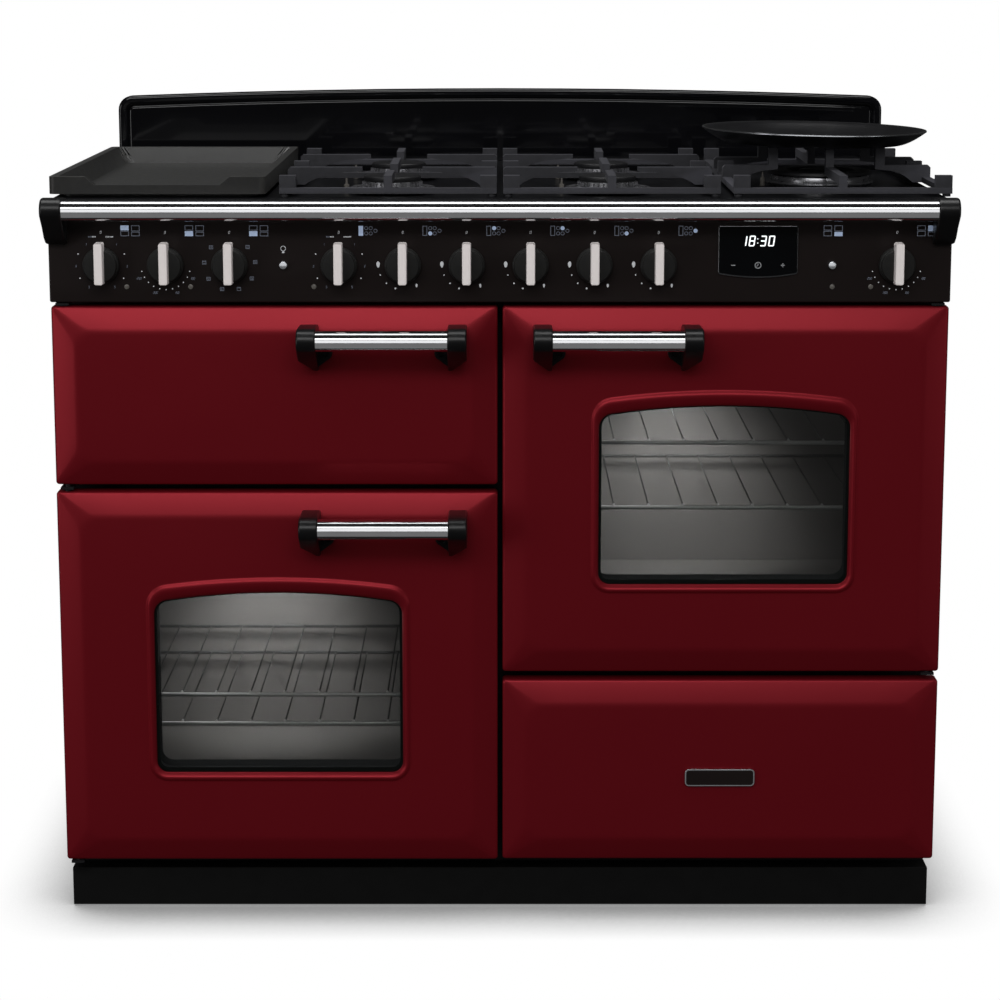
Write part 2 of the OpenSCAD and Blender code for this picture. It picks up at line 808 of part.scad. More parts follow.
// Outer and inner panes of a window
module panes(d) {
    for (y = [field_y + sheet + 0.3, door_back_y - sheet - 4.3])
        upright(y, y + 4) window_outline(d, glass_lap, glass_lap, glass_lap);
}

// Bar between two brackets on a door, x0 is the left end
module handle(x0, z) {
    side = concat([[field_y, 14]], arc(bar_y, 0, 15, 90, 232, 10), [[-18, -bracket_l], [field_y, -bracket_l]]);
    rod_x(bar_r, x0 + 5.1, x0 + handle_l - 5.1, bar_y, z);
    for (s = [0, 1])
        difference() {
            translate([x0 + s * (handle_l - bracket_w), 0, z]) lengthways(0, bracket_w) polygon(side);
            rod_x(bar_r + 0.1, x0 + 5, x0 + handle_l - 5, bar_y, z);
        }
}

enamel = "#5f0612";

module grill_door_panel() {
    color(enamel) at_front() difference() {
        door_pan(grill_door);
        pin_clearance(grill_door, -1);
    }
}

module grill_door_liner() {
    color("#8e9092") at_front() inner_door(grill_door, -1);
}

module grill_door_handle() {
    color("#d0d0d2") at_front() handle(-handle_end - handle_l, handle_z);
}

module left_door_panel() {
    color(enamel) at_front() difference() {
        window_pan(left_door);
        pin_clearance(left_door, -1);
    }
}

module left_door_liner() {
    color("#8e9092") at_front() window_door(left_door, -1);
}

module left_door_glass() {
    color("#20262480") at_front() panes(left_door);
}

module left_door_handle() {
    color("#d0d0d2") at_front() handle(-handle_end - handle_l, left_handle_z);
}

module right_door_panel() {
    color(enamel) at_front() difference() {
        window_pan(right_door);
        pin_clearance(right_door, 1);
    }
}

module right_door_liner() {
    color("#8e9092") at_front() window_door(right_door, 1);
}

module right_door_glass() {
    color("#20262480") at_front() panes(right_door);
}

module right_door_handle() {
    color("#d0d0d2") at_front() handle(handle_end, handle_z);
}

module drawer_front() {
    color(enamel) at_front() {
        door_pan(drawer_face);
        upright(pan_back_y, pan_back_y + 2) outline_of(drawer_face, 1, 4);
    }
}

// Open-topped tray behind the drawer front, with a slide on each side
module drawer_box() {
    x0 = 40;
    x1 = half_w - 40;
    color("#8c8e90") at_front() {
        difference() {
            block(x0, x1, pan_back_y + 2, 500, 92, 262);
            block(x0 + 2, x1 - 2, pan_back_y + 4, 498, 94, 263);
        }
        for (s = [0, 1])
            block([x0 - 20, x1][s], [x0, x1 + 20][s], 60, 500, 156, 174);
    }
}

// Plain metal plate on the drawer front
module badge() {
    color("#2a2a2c") at_front() translate([274.5, field_y, 181]) rotate([90, 0, 0])
        linear_extrude(2) rounded(87, 22, 5);
}

base_frame();
side_panels();
back_panel();
plinth();
front_frame();
levelling_feet();
rear_fittings();
hob_tray();
splashback();
ceramic_zone();
burner_bases();
burner_caps();
gas_rail();
control_panel();
clock_display();
indicator_lenses();
handrail();
handrail_brackets();
left_oven_liner();
right_oven_liner();
grill_liner();
oven_shelves();
grill_pan();
grill_element();
door_seals();
hinge_brackets();
drawer_runners();
oven_fan_left();
oven_fan_right();
trivet_left();
trivet_centre();
trivet_right();
griddle();
wok();
grill_door_panel();
grill_door_liner();
grill_door_handle();
left_door_panel();
left_door_liner();
left_door_glass();
left_door_handle();
right_door_panel();
right_door_liner();
right_door_glass();
right_door_handle();
drawer_front();
drawer_box();
badge();
knob_grill();
knob_left_oven();
knob_left_function();
knob_griddle_zone();
knob_gas_front_left();
knob_gas_rear_left();
knob_gas_rear_centre();
knob_gas_front_centre();
knob_gas_wok();
knob_right_oven();
button_light();
button_timer();
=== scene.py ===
"""Looks of the freestanding range: polished pieces, materials, floor, lights and camera around the CAD frame."""
import math

import bmesh
import bpy
from mathutils import Matrix, Vector


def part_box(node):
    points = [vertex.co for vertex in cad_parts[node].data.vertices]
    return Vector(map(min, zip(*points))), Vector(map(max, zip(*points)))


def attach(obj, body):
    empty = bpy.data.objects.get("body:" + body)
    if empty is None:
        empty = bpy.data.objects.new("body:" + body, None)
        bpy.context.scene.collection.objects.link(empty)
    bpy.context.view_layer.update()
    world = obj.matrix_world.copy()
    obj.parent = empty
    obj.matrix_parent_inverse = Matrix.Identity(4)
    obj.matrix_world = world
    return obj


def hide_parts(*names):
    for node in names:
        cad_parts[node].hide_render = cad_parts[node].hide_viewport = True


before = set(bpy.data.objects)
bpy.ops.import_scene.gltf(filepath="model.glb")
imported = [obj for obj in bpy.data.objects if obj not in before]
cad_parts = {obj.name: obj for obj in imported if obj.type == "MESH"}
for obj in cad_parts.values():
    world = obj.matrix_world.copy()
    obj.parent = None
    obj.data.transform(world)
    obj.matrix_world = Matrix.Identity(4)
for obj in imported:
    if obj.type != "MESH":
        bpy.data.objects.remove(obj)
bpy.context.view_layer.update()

MM = 0.001
FRONT = -262.5            # Y of the doors' plane, in mm; the depths below are counted from it
WELL = 898                # floor of the wells in the hob tray
DISH = 955.1              # underside of the dish on the right support
DISH_X, DISH_Y = 407.7, 250
# each burner: X, Y, radius of its skirt and of its crown; the last one also has an outer ring
BURNERS = [(x, y, 54, 36) for x in (-136, 136) for y in (152, 363)] + [(416.5, 250, 70, 27)]
LAMP_X = (-452, -374.6, -225.3, 402.3, 448.8)
# each oven: left, right, floor and roof of its cavity, its shelves, and its other runners
OVENS = {"left": (-497, -52, 112, 502, (227, 265), (330, 395)),
         "right": (52, 497, 356, 742, (509, 592), (430, 660))}
OVEN_BACK, BAFFLE, SHELF_FRONT, SHELF_BACK = 460, 424, 70, 404
EYE_BACK, EYE_HIGH, EYE_TILT = 3017.58, 1186.08, 9.46
FOCAL, PICTURE = 2506.83, 1000


def mm(*pairs):
    """Pairs given in millimetres, as metres."""
    return [tuple(v * MM for v in pair) for pair in pairs]


# ---- nodes and materials
class Nodes:
    """Short calls for building one node tree."""

    def __init__(self, tree):
        self.tree = tree
        tree.nodes.clear()

    def add(self, kind, **values):
        """A node with its sockets set; a value that is a socket is linked."""
        node = self.tree.nodes.new(kind)
        for key, value in values.items():
            name = key.replace("_", " ")
            socket = next((s for s in node.inputs if s.name.lower() == name), None)
            if socket is None:
                setattr(node, key, value)
            elif isinstance(value, bpy.types.NodeSocket):
                self.tree.links.new(value, socket)
            else:
                socket.default_value = value
        return node

    def link(self, out, socket):
        self.tree.links.new(out, socket)


def rgb(r, g, b):
    """Linear colour from 0 to 255 display values."""
    def linear(v):
        v /= 255
        return v / 12.92 if v <= 0.04045 else ((v + 0.055) / 1.055) ** 2.4
    return (linear(r), linear(g), linear(b), 1.0)


def new_material(name):
    """A material with its empty node tree and its output node."""
    mat = bpy.data.materials.new(name)
    mat.use_nodes = True
    n = Nodes(mat.node_tree)
    return mat, n, n.add("ShaderNodeOutputMaterial")


def surface(name, low, high, scale=40.0, detail=3.0, rough=(0.3, 0.4), bump=0.0, bump_scale=400.0,
            metallic=0.0, coat=0.0, coat_rough=0.05, specular=0.5, wear_and_edge_highlight=0.0, wear_and_edge_highlight_colour=None):
    """Opaque material: its colour and roughness wander slowly by noise, and a finer noise gives the bump. Colours
    are display values from 0 to 255, or linear ones when they have four parts."""
    low, high, wear_and_edge_highlight_colour = [c if c is None or len(c) == 4 else rgb(*c) for c in (low, high, wear_and_edge_highlight_colour)]
    mat, n, out = new_material(name)
    shader = n.add("ShaderNodeBsdfPrincipled", metallic=metallic, coat_weight=coat, coat_roughness=coat_rough,
                   specular_ior_level=specular)
    place = n.add("ShaderNodeTexCoord")
    noise = n.add("ShaderNodeTexNoise", vector=place.outputs["Object"], scale=scale, detail=detail)
    mix = n.add("ShaderNodeMix", data_type="RGBA")
    n.link(noise.outputs["Fac"], mix.inputs["Factor"])
    mix.inputs[6].default_value = low
    mix.inputs[7].default_value = high
    colour = mix.outputs[2]
    # Convex edges, found by pointiness, turn lighter: partly rubbed wear, partly a painted highlight along edges and
    # rims.
    if wear_and_edge_highlight:
        edge = n.add("ShaderNodeNewGeometry")
        ramp = n.add("ShaderNodeMapRange", value=edge.outputs["Pointiness"], from_min=0.52, from_max=0.60,
                     to_max=wear_and_edge_highlight)
        worn_and_lit = n.add("ShaderNodeMix", data_type="RGBA")
        n.link(ramp.outputs[0], worn_and_lit.inputs["Factor"])
        n.link(colour, worn_and_lit.inputs[6])
        worn_and_lit.inputs[7].default_value = wear_and_edge_highlight_colour or high
        colour = worn_and_lit.outputs[2]
    n.link(colour, shader.inputs["Base Color"])
    spread = n.add("ShaderNodeMapRange", value=noise.outputs["Fac"], to_min=rough[0], to_max=rough[1])
    n.link(spread.outputs[0], shader.inputs["Roughness"])
    if bump:
        fine = n.add("ShaderNodeTexNoise", vector=place.outputs["Object"], scale=bump_scale, detail=2.0)
        relief = n.add("ShaderNodeBump", height=fine.outputs["Fac"], strength=bump, distance=0.0005)
        n.link(relief.outputs[0], shader.inputs["Normal"])
    n.link(shader.outputs[0], out.inputs[0])
    return mat


def window_glass(name):
    """Clear pane: a slightly grey see-through body under a gloss that grows at steep angles."""
    mat, n, out = new_material(name)
    clear = n.add("ShaderNodeBsdfTransparent", color=(0.90, 0.905, 0.90, 1))
    place = n.add("ShaderNodeTexCoord")
    haze = n.add("ShaderNodeTexNoise", vector=place.outputs["Object"], scale=6.0, detail=2.0)
    rough = n.add("ShaderNodeMapRange", value=haze.outputs["Fac"], to_min=0.02, to_max=0.08)
    gloss = n.add("ShaderNodeBsdfGlossy", roughness=rough.outputs[0])
    tilt = n.add("ShaderNodeLayerWeight", blend=0.5)
    steep = n.add("ShaderNodeMath", operation="POWER")
    n.link(tilt.outputs["Facing"], steep.inputs[0])
    steep.inputs[1].default_value = 5.0
    share = n.add("ShaderNodeMapRange", value=steep.outputs[0], to_min=0.04, to_max=0.6)
    mix = n.add("ShaderNodeMixShader", fac=share.outputs[0])
    n.link(clear.outputs[0], mix.inputs[1])
    n.link(gloss.outputs[0], mix.inputs[2])
    n.link(mix.outputs[0], out.inputs[0])
    return mat


def glowing(name, colour, strength, low=0.85):
    """Lit print on the clock: an emission that varies a little, as light segments do."""
    mat, n, out = new_material(name)
    place = n.add("ShaderNodeTexCoord")
    noise = n.add("ShaderNodeTexNoise", vector=place.outputs["Object"], scale=300.0)
    level = n.add("ShaderNodeMapRange", value=noise.outputs["Fac"], to_min=strength * low, to_max=strength)
    glow = n.add("ShaderNodeEmission", color=colour, strength=level.outputs[0])
    n.link(glow.outputs[0], out.inputs[0])
    return mat


M = {
    "enamel": surface("red_enamel", (0.315, 0.0105, 0.0205, 1), (0.335, 0.0117, 0.0225, 1), scale=5,
                      rough=(0.36, 0.40), bump=0.03, bump_scale=160, metallic=0.6, specular=0.4),
    "fascia": surface("fascia_black", (33, 27, 26), (38, 31, 30), scale=12, rough=(0.32, 0.42),
                      bump=0.02, bump_scale=300, specular=0.25),
    "hob": surface("hob_enamel", (9, 9, 11), (14, 14, 17), scale=20, rough=(0.26, 0.34), specular=0.15),
    "upstand": surface("upstand_enamel", (8, 8, 10), (13, 13, 16), scale=8, rough=(0.06, 0.12),
                       specular=0.5, coat=0.3, coat_rough=0.03),
    "case": surface("case_black", (24, 24, 26), (30, 30, 32), scale=25, rough=(0.40, 0.50),
                    bump=0.08, bump_scale=900),
    "plinth": surface("plinth_black", (12, 12, 12), (18, 18, 18), scale=60, rough=(0.55, 0.65),
                      bump=0.25, bump_scale=1300, specular=0.3),
    # On the supports, griddle and dish the lighter colour on convex edges is partly rubbed wear, partly painted
    # highlight.
    "iron": surface("cast_iron", (42, 42, 46), (60, 60, 65), scale=120, rough=(0.42, 0.58),
                    bump=0.4, bump_scale=1100, specular=0.5, wear_and_edge_highlight=0.5, wear_and_edge_highlight_colour=(80, 80, 88)),
    "griddle": surface("griddle_coat", (36, 36, 35), (47, 47, 46), scale=150, rough=(0.36, 0.52),
                       bump=0.3, bump_scale=1500, wear_and_edge_highlight=0.6, wear_and_edge_highlight_colour=(90, 88, 84)),
    "wok": surface("wok_iron", (14, 14, 16), (24, 24, 26), scale=40, rough=(0.28, 0.38),
                   bump=0.1, bump_scale=700, wear_and_edge_highlight=0.4, wear_and_edge_highlight_colour=(110, 110, 108)),
    "chrome": surface("chrome", (205, 205, 207), (215, 215, 218), scale=30, rough=(0.07, 0.12), metallic=1.0),
    "wire": surface("shelf_wire", (205, 205, 205), (225, 225, 224), scale=90, rough=(0.25, 0.35), metallic=0.7),
    # The same shelf wire again, darker and rougher: painted shade for the rear rail, sides and cross wires.
    "wire_shaded": surface("shelf_wire_shaded", (66, 66, 66), (84, 84, 84), scale=90, rough=(0.6, 0.7),
                         specular=0.2),
    "grip": surface("knob_grip", (214, 207, 205), (224, 217, 215), scale=200, rough=(0.42, 0.52),
                    bump=0.05, bump_scale=1600, specular=0.3),
    "knob": surface("knob_black", (30, 30, 29), (38, 38, 37), scale=150, rough=(0.45, 0.55),
                    bump=0.15, bump_scale=1800, specular=0.35),
    "bracket": surface("bracket_black", (16, 16, 17), (22, 22, 23), scale=80, rough=(0.28, 0.38),
                       bump=0.05, bump_scale=900),
    "liner": surface("oven_enamel", (108, 105, 104), (120, 117, 116), scale=260, rough=(0.35, 0.50),
                     bump=0.1, bump_scale=900),
    "inner": surface("door_inner", (60, 61, 63), (72, 73, 75), scale=80, rough=(0.30, 0.42),
                     bump=0.05, bump_scale=600),
    "border": surface("glass_border", (15, 18, 17), (21, 25, 23), scale=90, rough=(0.2, 0.3)),
    "seal": surface("seal_weave", (22, 22, 22), (40, 40, 40), scale=900, rough=(0.7, 0.9), bump=0.6,
                    bump_scale=1500),
    "zinc": surface("zinc_sheet", (150, 152, 155), (172, 174, 177), scale=35, detail=1, rough=(0.35, 0.5),
                    bump=0.03, bump_scale=300, metallic=0.35),
    "brass": surface("brass", (176, 141, 80), (192, 158, 98), scale=60, rough=(0.25, 0.38), metallic=1.0,
                     bump=0.05),
    "alloy": surface("burner_alloy", (150, 150, 154), (176, 176, 180), scale=120, rough=(0.22, 0.34),
                     metallic=0.95, bump=0.08, bump_scale=1200),
    "cap": surface("burner_cap", (16, 16, 18), (26, 26, 28), scale=90, rough=(0.38, 0.5), bump=0.2,
                   bump_scale=1400),
    "ceramic": surface("ceramic_glass", (8, 8, 10), (13, 13, 15), scale=60, rough=(0.05, 0.1)),
    "rubber": surface("foot_rubber", (26, 26, 26), (36, 36, 36), scale=200, rough=(0.6, 0.8), bump=0.2),
    "rod": surface("heating_rod", (70, 60, 54), (96, 84, 76), scale=50, rough=(0.4, 0.6), metallic=0.6,
                   bump=0.1),
    "lens": surface("lamp_lens", (92, 88, 84), (130, 126, 120), scale=700, rough=(0.2, 0.35), bump=0.2),
    "print": surface("panel_print", (188, 190, 194), (205, 207, 210), scale=600, rough=(0.5, 0.6)),
    "tint": surface("panel_print_blue", (168, 188, 222), (186, 203, 232), scale=600, rough=(0.5, 0.6)),
    "dim": surface("panel_print_dim", (92, 98, 112), (108, 114, 128), scale=600, rough=(0.5, 0.6)),
    "silver": surface("trim_silver", (170, 172, 176), (190, 192, 196), scale=80, rough=(0.2, 0.3),
                      metallic=1.0),
    "clock": surface("clock_glass", (9, 10, 12), (12, 13, 15), scale=30, rough=(0.05, 0.09)),
    "glass": window_glass("window_glass"),
    "digits": glowing("clock_digits", (0.95, 0.98, 1.0, 1), 1.6),
}


# ---- mesh helpers
def new_object(name, data):
    """An object around a mesh, lamp or camera, in the scene."""
    obj = bpy.data.objects.new(name, data)
    bpy.context.scene.collection.objects.link(obj)
    return obj


def finish_mesh(name, bm, material, smooth=40):
    """Turns a bmesh into an object with outward normals, smooth below the given angle in degrees."""
    bmesh.ops.remove_doubles(bm, verts=bm.verts, dist=1e-6)
    bmesh.ops.recalc_face_normals(bm, faces=bm.faces)
    mesh = bpy.data.meshes.new(name)
    bm.to_mesh(mesh)
    bm.free()
    if smooth:
        mesh.shade_smooth()
        mesh.set_sharp_from_angle(angle=math.radians(smooth))
    mesh.materials.append(material)
    return new_object(name, mesh)


def piece(obj, body, slot, *nodes):
    """Rides the object on its body and hides the CAD nodes it stands for; slot is not used."""
    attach(obj, body)
    if nodes:
        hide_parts(*nodes)
    return obj


def make(name, bm, finish, body, slot, *nodes, smooth=40):
    """A piece of the finish M[finish], made from a bmesh, that rides on body."""
    return piece(finish_mesh(name, bm, M[finish], smooth), body, slot, *nodes)


def bevel(obj, width, segments=3, angle=35):
    """Rounds the edges that are sharper than angle."""
    mod = obj.modifiers.new("Bevel", "BEVEL")
    mod.width = width
    mod.segments = segments
    mod.limit_method = "ANGLE"
    mod.angle_limit = math.radians(angle)
    mod.harden_normals = False
    return mod


def arc(cx, cz, r, a0, a1, steps):
    """Points along a circular arc, from angle a0 to a1."""
    return [(cx + r * math.cos(a0 + (a1 - a0) * i / steps), cz + r * math.sin(a0 + (a1 - a0) * i / steps))
            for i in range(steps + 1)]


CORNER, SIDE = 7, 12


def outline(x0, x1, z0, z1, r_top, r_foot, rise=0.0):
    """Rounded outline, anticlockwise from the foot's right corner; rise arches its top. Every outline has
    the same number of points, so any two can be joined ring to ring."""
    cx, half = (x0 + x1) / 2, (x1 - x0) / 2
    if rise > 0:
        big = (half * half + rise * rise) / (2 * rise)
        mid = z1 - big
        reach = mid + math.sqrt((big - r_top) ** 2 - (half - r_top) ** 2)
        lean = math.atan2(reach - mid, half - r_top)
        top = arc(cx, mid, big, lean, math.pi - lean, SIDE)
    else:
        reach, lean = z1 - r_top, math.pi / 2
        top = [(x1 - r_top + (x0 + r_top - x1 + r_top) * i / SIDE, z1) for i in range(SIDE + 1)]

    def straight(a, b):
        return [(a[0] + (b[0] - a[0]) * i / SIDE, a[1] + (b[1] - a[1]) * i / SIDE) for i in range(1, SIDE)]

    q = math.pi / 2
    foot_right = arc(x1 - r_foot, z0 + r_foot, r_foot, -q, 0, CORNER)
    top_right = arc(x1 - r_top, reach, r_top, 0, lean, CORNER)
    top_left = arc(x0 + r_top, reach, r_top, math.pi - lean, math.pi, CORNER)
    foot_left = arc(x0 + r_foot, z0 + r_foot, r_foot, math.pi, 3 * q, CORNER)
    return (foot_right + straight(foot_right[-1], top_right[0]) + top_right + top[1:-1] + top_left
            + straight(top_left[-1], foot_left[0]) + foot_left + straight(foot_left[-1], foot_right[0]))


def add_rings(bm, rings, loop=False, cap_first=False, cap_last=False):
    """Joins rings of equally many points with quads."""
    made = [[bm.verts.new(p) for p in ring] for ring in rings]
    pairs = list(zip(made, made[1:])) + ([(made[-1], made[0])] if loop else [])
    count = len(made[0])
    for a, b in pairs:
        for i in range(count):
            j = (i + 1) % count
            bm.faces.new((a[i], a[j], b[j], b[i]))
    if cap_first:
        bm.faces.new(made[0])
    if cap_last:
        bm.faces.new(list(reversed(made[-1])))
    return made


def lathe(bm, profile, centre, steps=48, axis="Z"):
    """Turns a closed or axis-touching profile of (radius, height) about an axis through centre."""
    rings = []
    for i in range(steps):
        a = 2 * math.pi * i / steps
        ring = []
        for r, h in profile:
            if axis == "Z":
                p = (r * math.cos(a), r * math.sin(a), h)
            elif axis == "Y":
                p = (r * math.cos(a), -h, r * math.sin(a))
            else:
                p = (h, r * math.cos(a), r * math.sin(a))
            ring.append(bm.verts.new(Vector(p) + Vector(centre)))
        rings.append(ring)
    for i in range(steps):
        a, b = rings[i], rings[(i + 1) % steps]
        for j in range(len(profile) - 1):
            corners = [a[j], a[j + 1], b[j + 1], b[j]]
            if profile[j][0] < 1e-9:
                corners = [a[j], a[j + 1], b[j + 1]]
            elif profile[j + 1][0] < 1e-9:
                corners = [a[j], a[j + 1], b[j]]
            bm.faces.new(corners)


def tube(bm, points, radius, sides=12, closed=False):
    """Round wire along points."""
    pts = [Vector(p) for p in points]
    rings = []
    side = None
    for i, p in enumerate(pts):
        before = pts[i - 1] if (i or closed) else p
        after = pts[(i + 1) % len(pts)] if (i < len(pts) - 1 or closed) else p
        along = (after - before).normalized()
        if side is None:
            side = along.orthogonal().normalized()
        side = (side - along * side.dot(along)).normalized()
        up = along.cross(side)
        rings.append([p + (side * math.cos(2 * math.pi * k / sides) + up * math.sin(2 * math.pi * k / sides))
                      * radius for k in range(sides)])
    add_rings(bm, rings, loop=closed, cap_first=not closed, cap_last=not closed)


def extrude_profile(bm, points, along, lo, hi):
    """Prism of a flat outline: points are the two other axes, in X, Y, Z order."""
    def at(p, t):
        return {"X": (t, p[0], p[1]), "Y": (p[0], t, p[1]), "Z": (p[0], p[1], t)}[along]
    add_rings(bm, [[at(p, lo) for p in points], [at(p, hi) for p in points]], cap_first=True, cap_last=True)


def box_into(bm, low, high):
    """Adds a box between two corners."""
    made = bmesh.ops.create_cube(bm, size=1.0)["verts"]
    low, high = Vector(low), Vector(high)
    for v in made:
        v.co = (low + high) / 2 + Vector(a * b for a, b in zip(v.co, high - low))


def size_of(node):
    """Both corners of a CAD node's box."""
    low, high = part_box(node)
    return Vector(low), Vector(high)


# ---- doors and drawer
bright_parts = []          # chrome, grips and print, which have their own strip of light
PAN_DEPTH = 30 * MM        # from the back of a pan to its raised field
EDGE_IN = 10 * MM          # the raised field stands this far in front of the edge
SHEET = 1.5 * MM           # enamelled sheet
PANE = 4 * MM
GLASS_LAP = 7 * MM         # how far a pane reaches behind the rim of its window
RISE = 12.5 * MM           # arch of a window's top


def window_of(glass):
    """[x0, x1, z0, z1] of the hole in front of a pane."""
    low, high = size_of(glass)
    return [low.x + GLASS_LAP, high.x - GLASS_LAP, low.z + GLASS_LAP, high.z - GLASS_LAP]


def pan_ring(low, high, inset, y, r):
    """Rounded rectangle inside a box seen from the front, at depth y."""
    pts = outline(low.x + inset, high.x - inset, low.z + inset, high.z - inset, r, r)
    return [(x, y, z) for x, z in pts]


def window_ring(w, side, top, foot, y):
    """Outline of a window grown by side, top and foot, at depth y."""
    pts = outline(w[0] - side, w[1] + side, w[2] - foot, w[3] + top, 18 * MM + side, 14 * MM + side, RISE)
    return [(x, y, z) for x, z in pts]


def door_pan(name, body, node, glass=None):
    """Pressed and enamelled pan: a rolled edge, sloping border, raised field and, round a window, a rolled lip."""
    low, high = size_of(node)
    back = high.y
    field = back - PAN_DEPTH
    edge = field + EDGE_IN
    rings = [pan_ring(low, high, 0, back, 4 * MM)]
    for inset, depth, r in ((0, 3, 4), (0.25, 1.5, 4), (0.9, 0.45, 4.2), (2.0, -0.35, 5), (3.4, -0.95, 6)):
        rings.append(pan_ring(low, high, inset * MM, edge + depth * MM, r * MM))
    slope = [(25.5, -8.35, 18), (27.6, -8.98, 19.5), (29.4, -9.42, 20.5), (31.2, -9.72, 21.5), (33.2, -9.9, 22.5),
             (35.5, -10.0, 24)]
    for inset, depth, r in slope:
        rings.append(pan_ring(low, high, inset * MM, edge + depth * MM, r * MM))
    bm = bmesh.new()
    if glass:
        w = window_of(glass)
        lip = [(9.6, 19.6, 11.6, 0), (8.9, 18.7, 10.9, -0.3), (8.1, 17.4, 10.0, -1.1), (7.2, 15.9, 8.9, -2.1),
               (6.2, 14.2, 7.8, -2.75), (5.1, 12.0, 6.5, -2.95), (3.9, 9.4, 5.1, -2.55), (2.7, 6.6, 3.6, -1.6),
               (1.5, 3.7, 2.0, -0.35), (0.5, 1.2, 0.6, 1.0), (0, 0, 0, 2.2)]
        rings.append(window_ring(w, 10.6 * MM, 20.6 * MM, 12.6 * MM, field))
        for side, top, foot, depth in lip:
            rings.append(window_ring(w, side * MM, top * MM, foot * MM, field + depth * MM))
        rings.append(window_ring(w, 3 * MM, 3 * MM, 3 * MM, field + 2.2 * MM))
        rings.append(window_ring(w, 8 * MM, 8 * MM, 8 * MM, field + SHEET))
        rings.append(pan_ring(low, high, 34 * MM, field + SHEET, 22 * MM))
        rings.append(pan_ring(low, high, 2 * MM, edge + 3 * MM, 4 * MM))
        rings.append(pan_ring(low, high, SHEET, back, 4 * MM))
        add_rings(bm, rings, loop=True)
    else:
        add_rings(bm, rings, cap_last=True)
        inner = [pan_ring(low, high, 34 * MM, field + SHEET, 22 * MM),
                 pan_ring(low, high, 2 * MM, edge + 3 * MM, 4 * MM), pan_ring(low, high, SHEET, back, 4 * MM)]
        add_rings(bm, inner + [rings[0]], cap_first=True)
    obj = finish_mesh(name, bm, M["enamel"], smooth=50)
    return piece(obj, body, "red_enamel", node)


def glazing(name, body, node):
    """Outer and inner panes with the dark printed border round the outer one."""
    w = window_of(node)
    low, high = size_of(node)
    bm = bmesh.new()
    for y in (low.y, high.y - PANE):
        rings = [window_ring(w, GLASS_LAP, GLASS_LAP, GLASS_LAP, depth) for depth in (y, y + PANE)]
        add_rings(bm, rings, cap_first=True, cap_last=True)
    make(name, bm, "glass", body, "door_glass", node, smooth=30)
    bm = bmesh.new()
    y0, y1 = low.y + 4.1 * MM, low.y + 4.5 * MM
    rings = [window_ring(w, 6 * MM, 6 * MM, 6 * MM, y0), window_ring(w, -3.5 * MM, -2 * MM, -5 * MM, y0),
             window_ring(w, -3.5 * MM, -2 * MM, -5 * MM, y1), window_ring(w, 6 * MM, 6 * MM, 6 * MM, y1)]
    add_rings(bm, rings, loop=True)
    make(name + "_border", bm, "border", body, "door_glass", smooth=30)


def door_handle(name, body, node):
    """Chrome bar between two black brackets with a pointed foot and a round screw ear on the inner side."""
    low, high = size_of(node)
    reach = low.y
    bar_y = reach + 15 * MM
    top = high.z
    bar_z = top - 15 * MM
    bar_r = 12.5 * MM
    bm = bmesh.new()
    lathe(bm, [(0, low.x + 6 * MM), (bar_r - 0.6 * MM, low.x + 6 * MM), (bar_r, low.x + 6.6 * MM),
               (bar_r, high.x - 6.6 * MM), (bar_r - 0.6 * MM, high.x - 6 * MM), (0, high.x - 6 * MM)],
          (0, bar_y, bar_z), steps=64, axis="X")
    bright_parts.append(make(name + "_bar", bm, "chrome", body, "chrome"))
    bm = bmesh.new()
    field = high.y
    for end, inner in ((low.x, 1), (high.x, -1)):
        x0, x1 = sorted((end, end + inner * 23 * MM))
        side = [(field, bar_z + 13 * MM)]
        side += [(bar_y - 15 * MM * math.cos(math.radians(a)), bar_z + 14.8 * MM * math.sin(math.radians(a)))
                 for a in range(90, -56, -12)]
        side += [(field - 14 * MM, bar_z - 42 * MM), (field, bar_z - 43 * MM)]
        part = bmesh.new()
        extrude_profile(part, side, "X", x0, x1)
        # the outer foot corner is cut off slantwise, so the foot ends in a point on the inner side
        cut = bmesh.ops.bisect_plane(part, geom=part.verts[:] + part.edges[:] + part.faces[:], clear_outer=True,
                                     plane_co=(end, 0, bar_z - 26 * MM), plane_no=(-inner * 17, 0, -19))
        bmesh.ops.holes_fill(part, edges=[e for e in cut["geom_cut"] if isinstance(e, bmesh.types.BMEdge)])
        spare = bpy.data.meshes.new("spare")
        part.to_mesh(spare)
        part.free()
        bm.from_mesh(spare)
        bpy.data.meshes.remove(spare)
    obj = finish_mesh(name + "_brackets", bm, M["bracket"], smooth=30)
    bevel(obj, 1.8 * MM, 3, 30)
    piece(obj, body, "chrome", node)
    bm = bmesh.new()
    for end, inner in ((low.x, 1), (high.x, -1)):
        edge = end + inner * 22 * MM
        x, z = edge + inner * 9 * MM, bar_z - 21.5 * MM
        lathe(bm, mm((0, 0), (8, 0), (8.5, 0.8), (8.5, 8.6), (7.6, 9.6), (4.9, 9.8), (4.5, 9.2), (4.3, 5), (0, 5)),
              (x, field, z), steps=32, axis="Y")
        web = [(edge, z + 8 * MM), (x, z + 8.2 * MM)]
        web += [(x + inner * 6 * MM * math.cos(math.radians(a)), z + 6 * MM * math.sin(math.radians(a)))
                for a in range(95, 266, 17)]
        web += [(x + inner * 3 * MM, z - 7.8 * MM), (edge, z - 17 * MM)]
        extrude_profile(bm, web, "Y", field - 9 * MM, field)
    make(name + "_ears", bm, "bracket", body, "chrome", smooth=30)


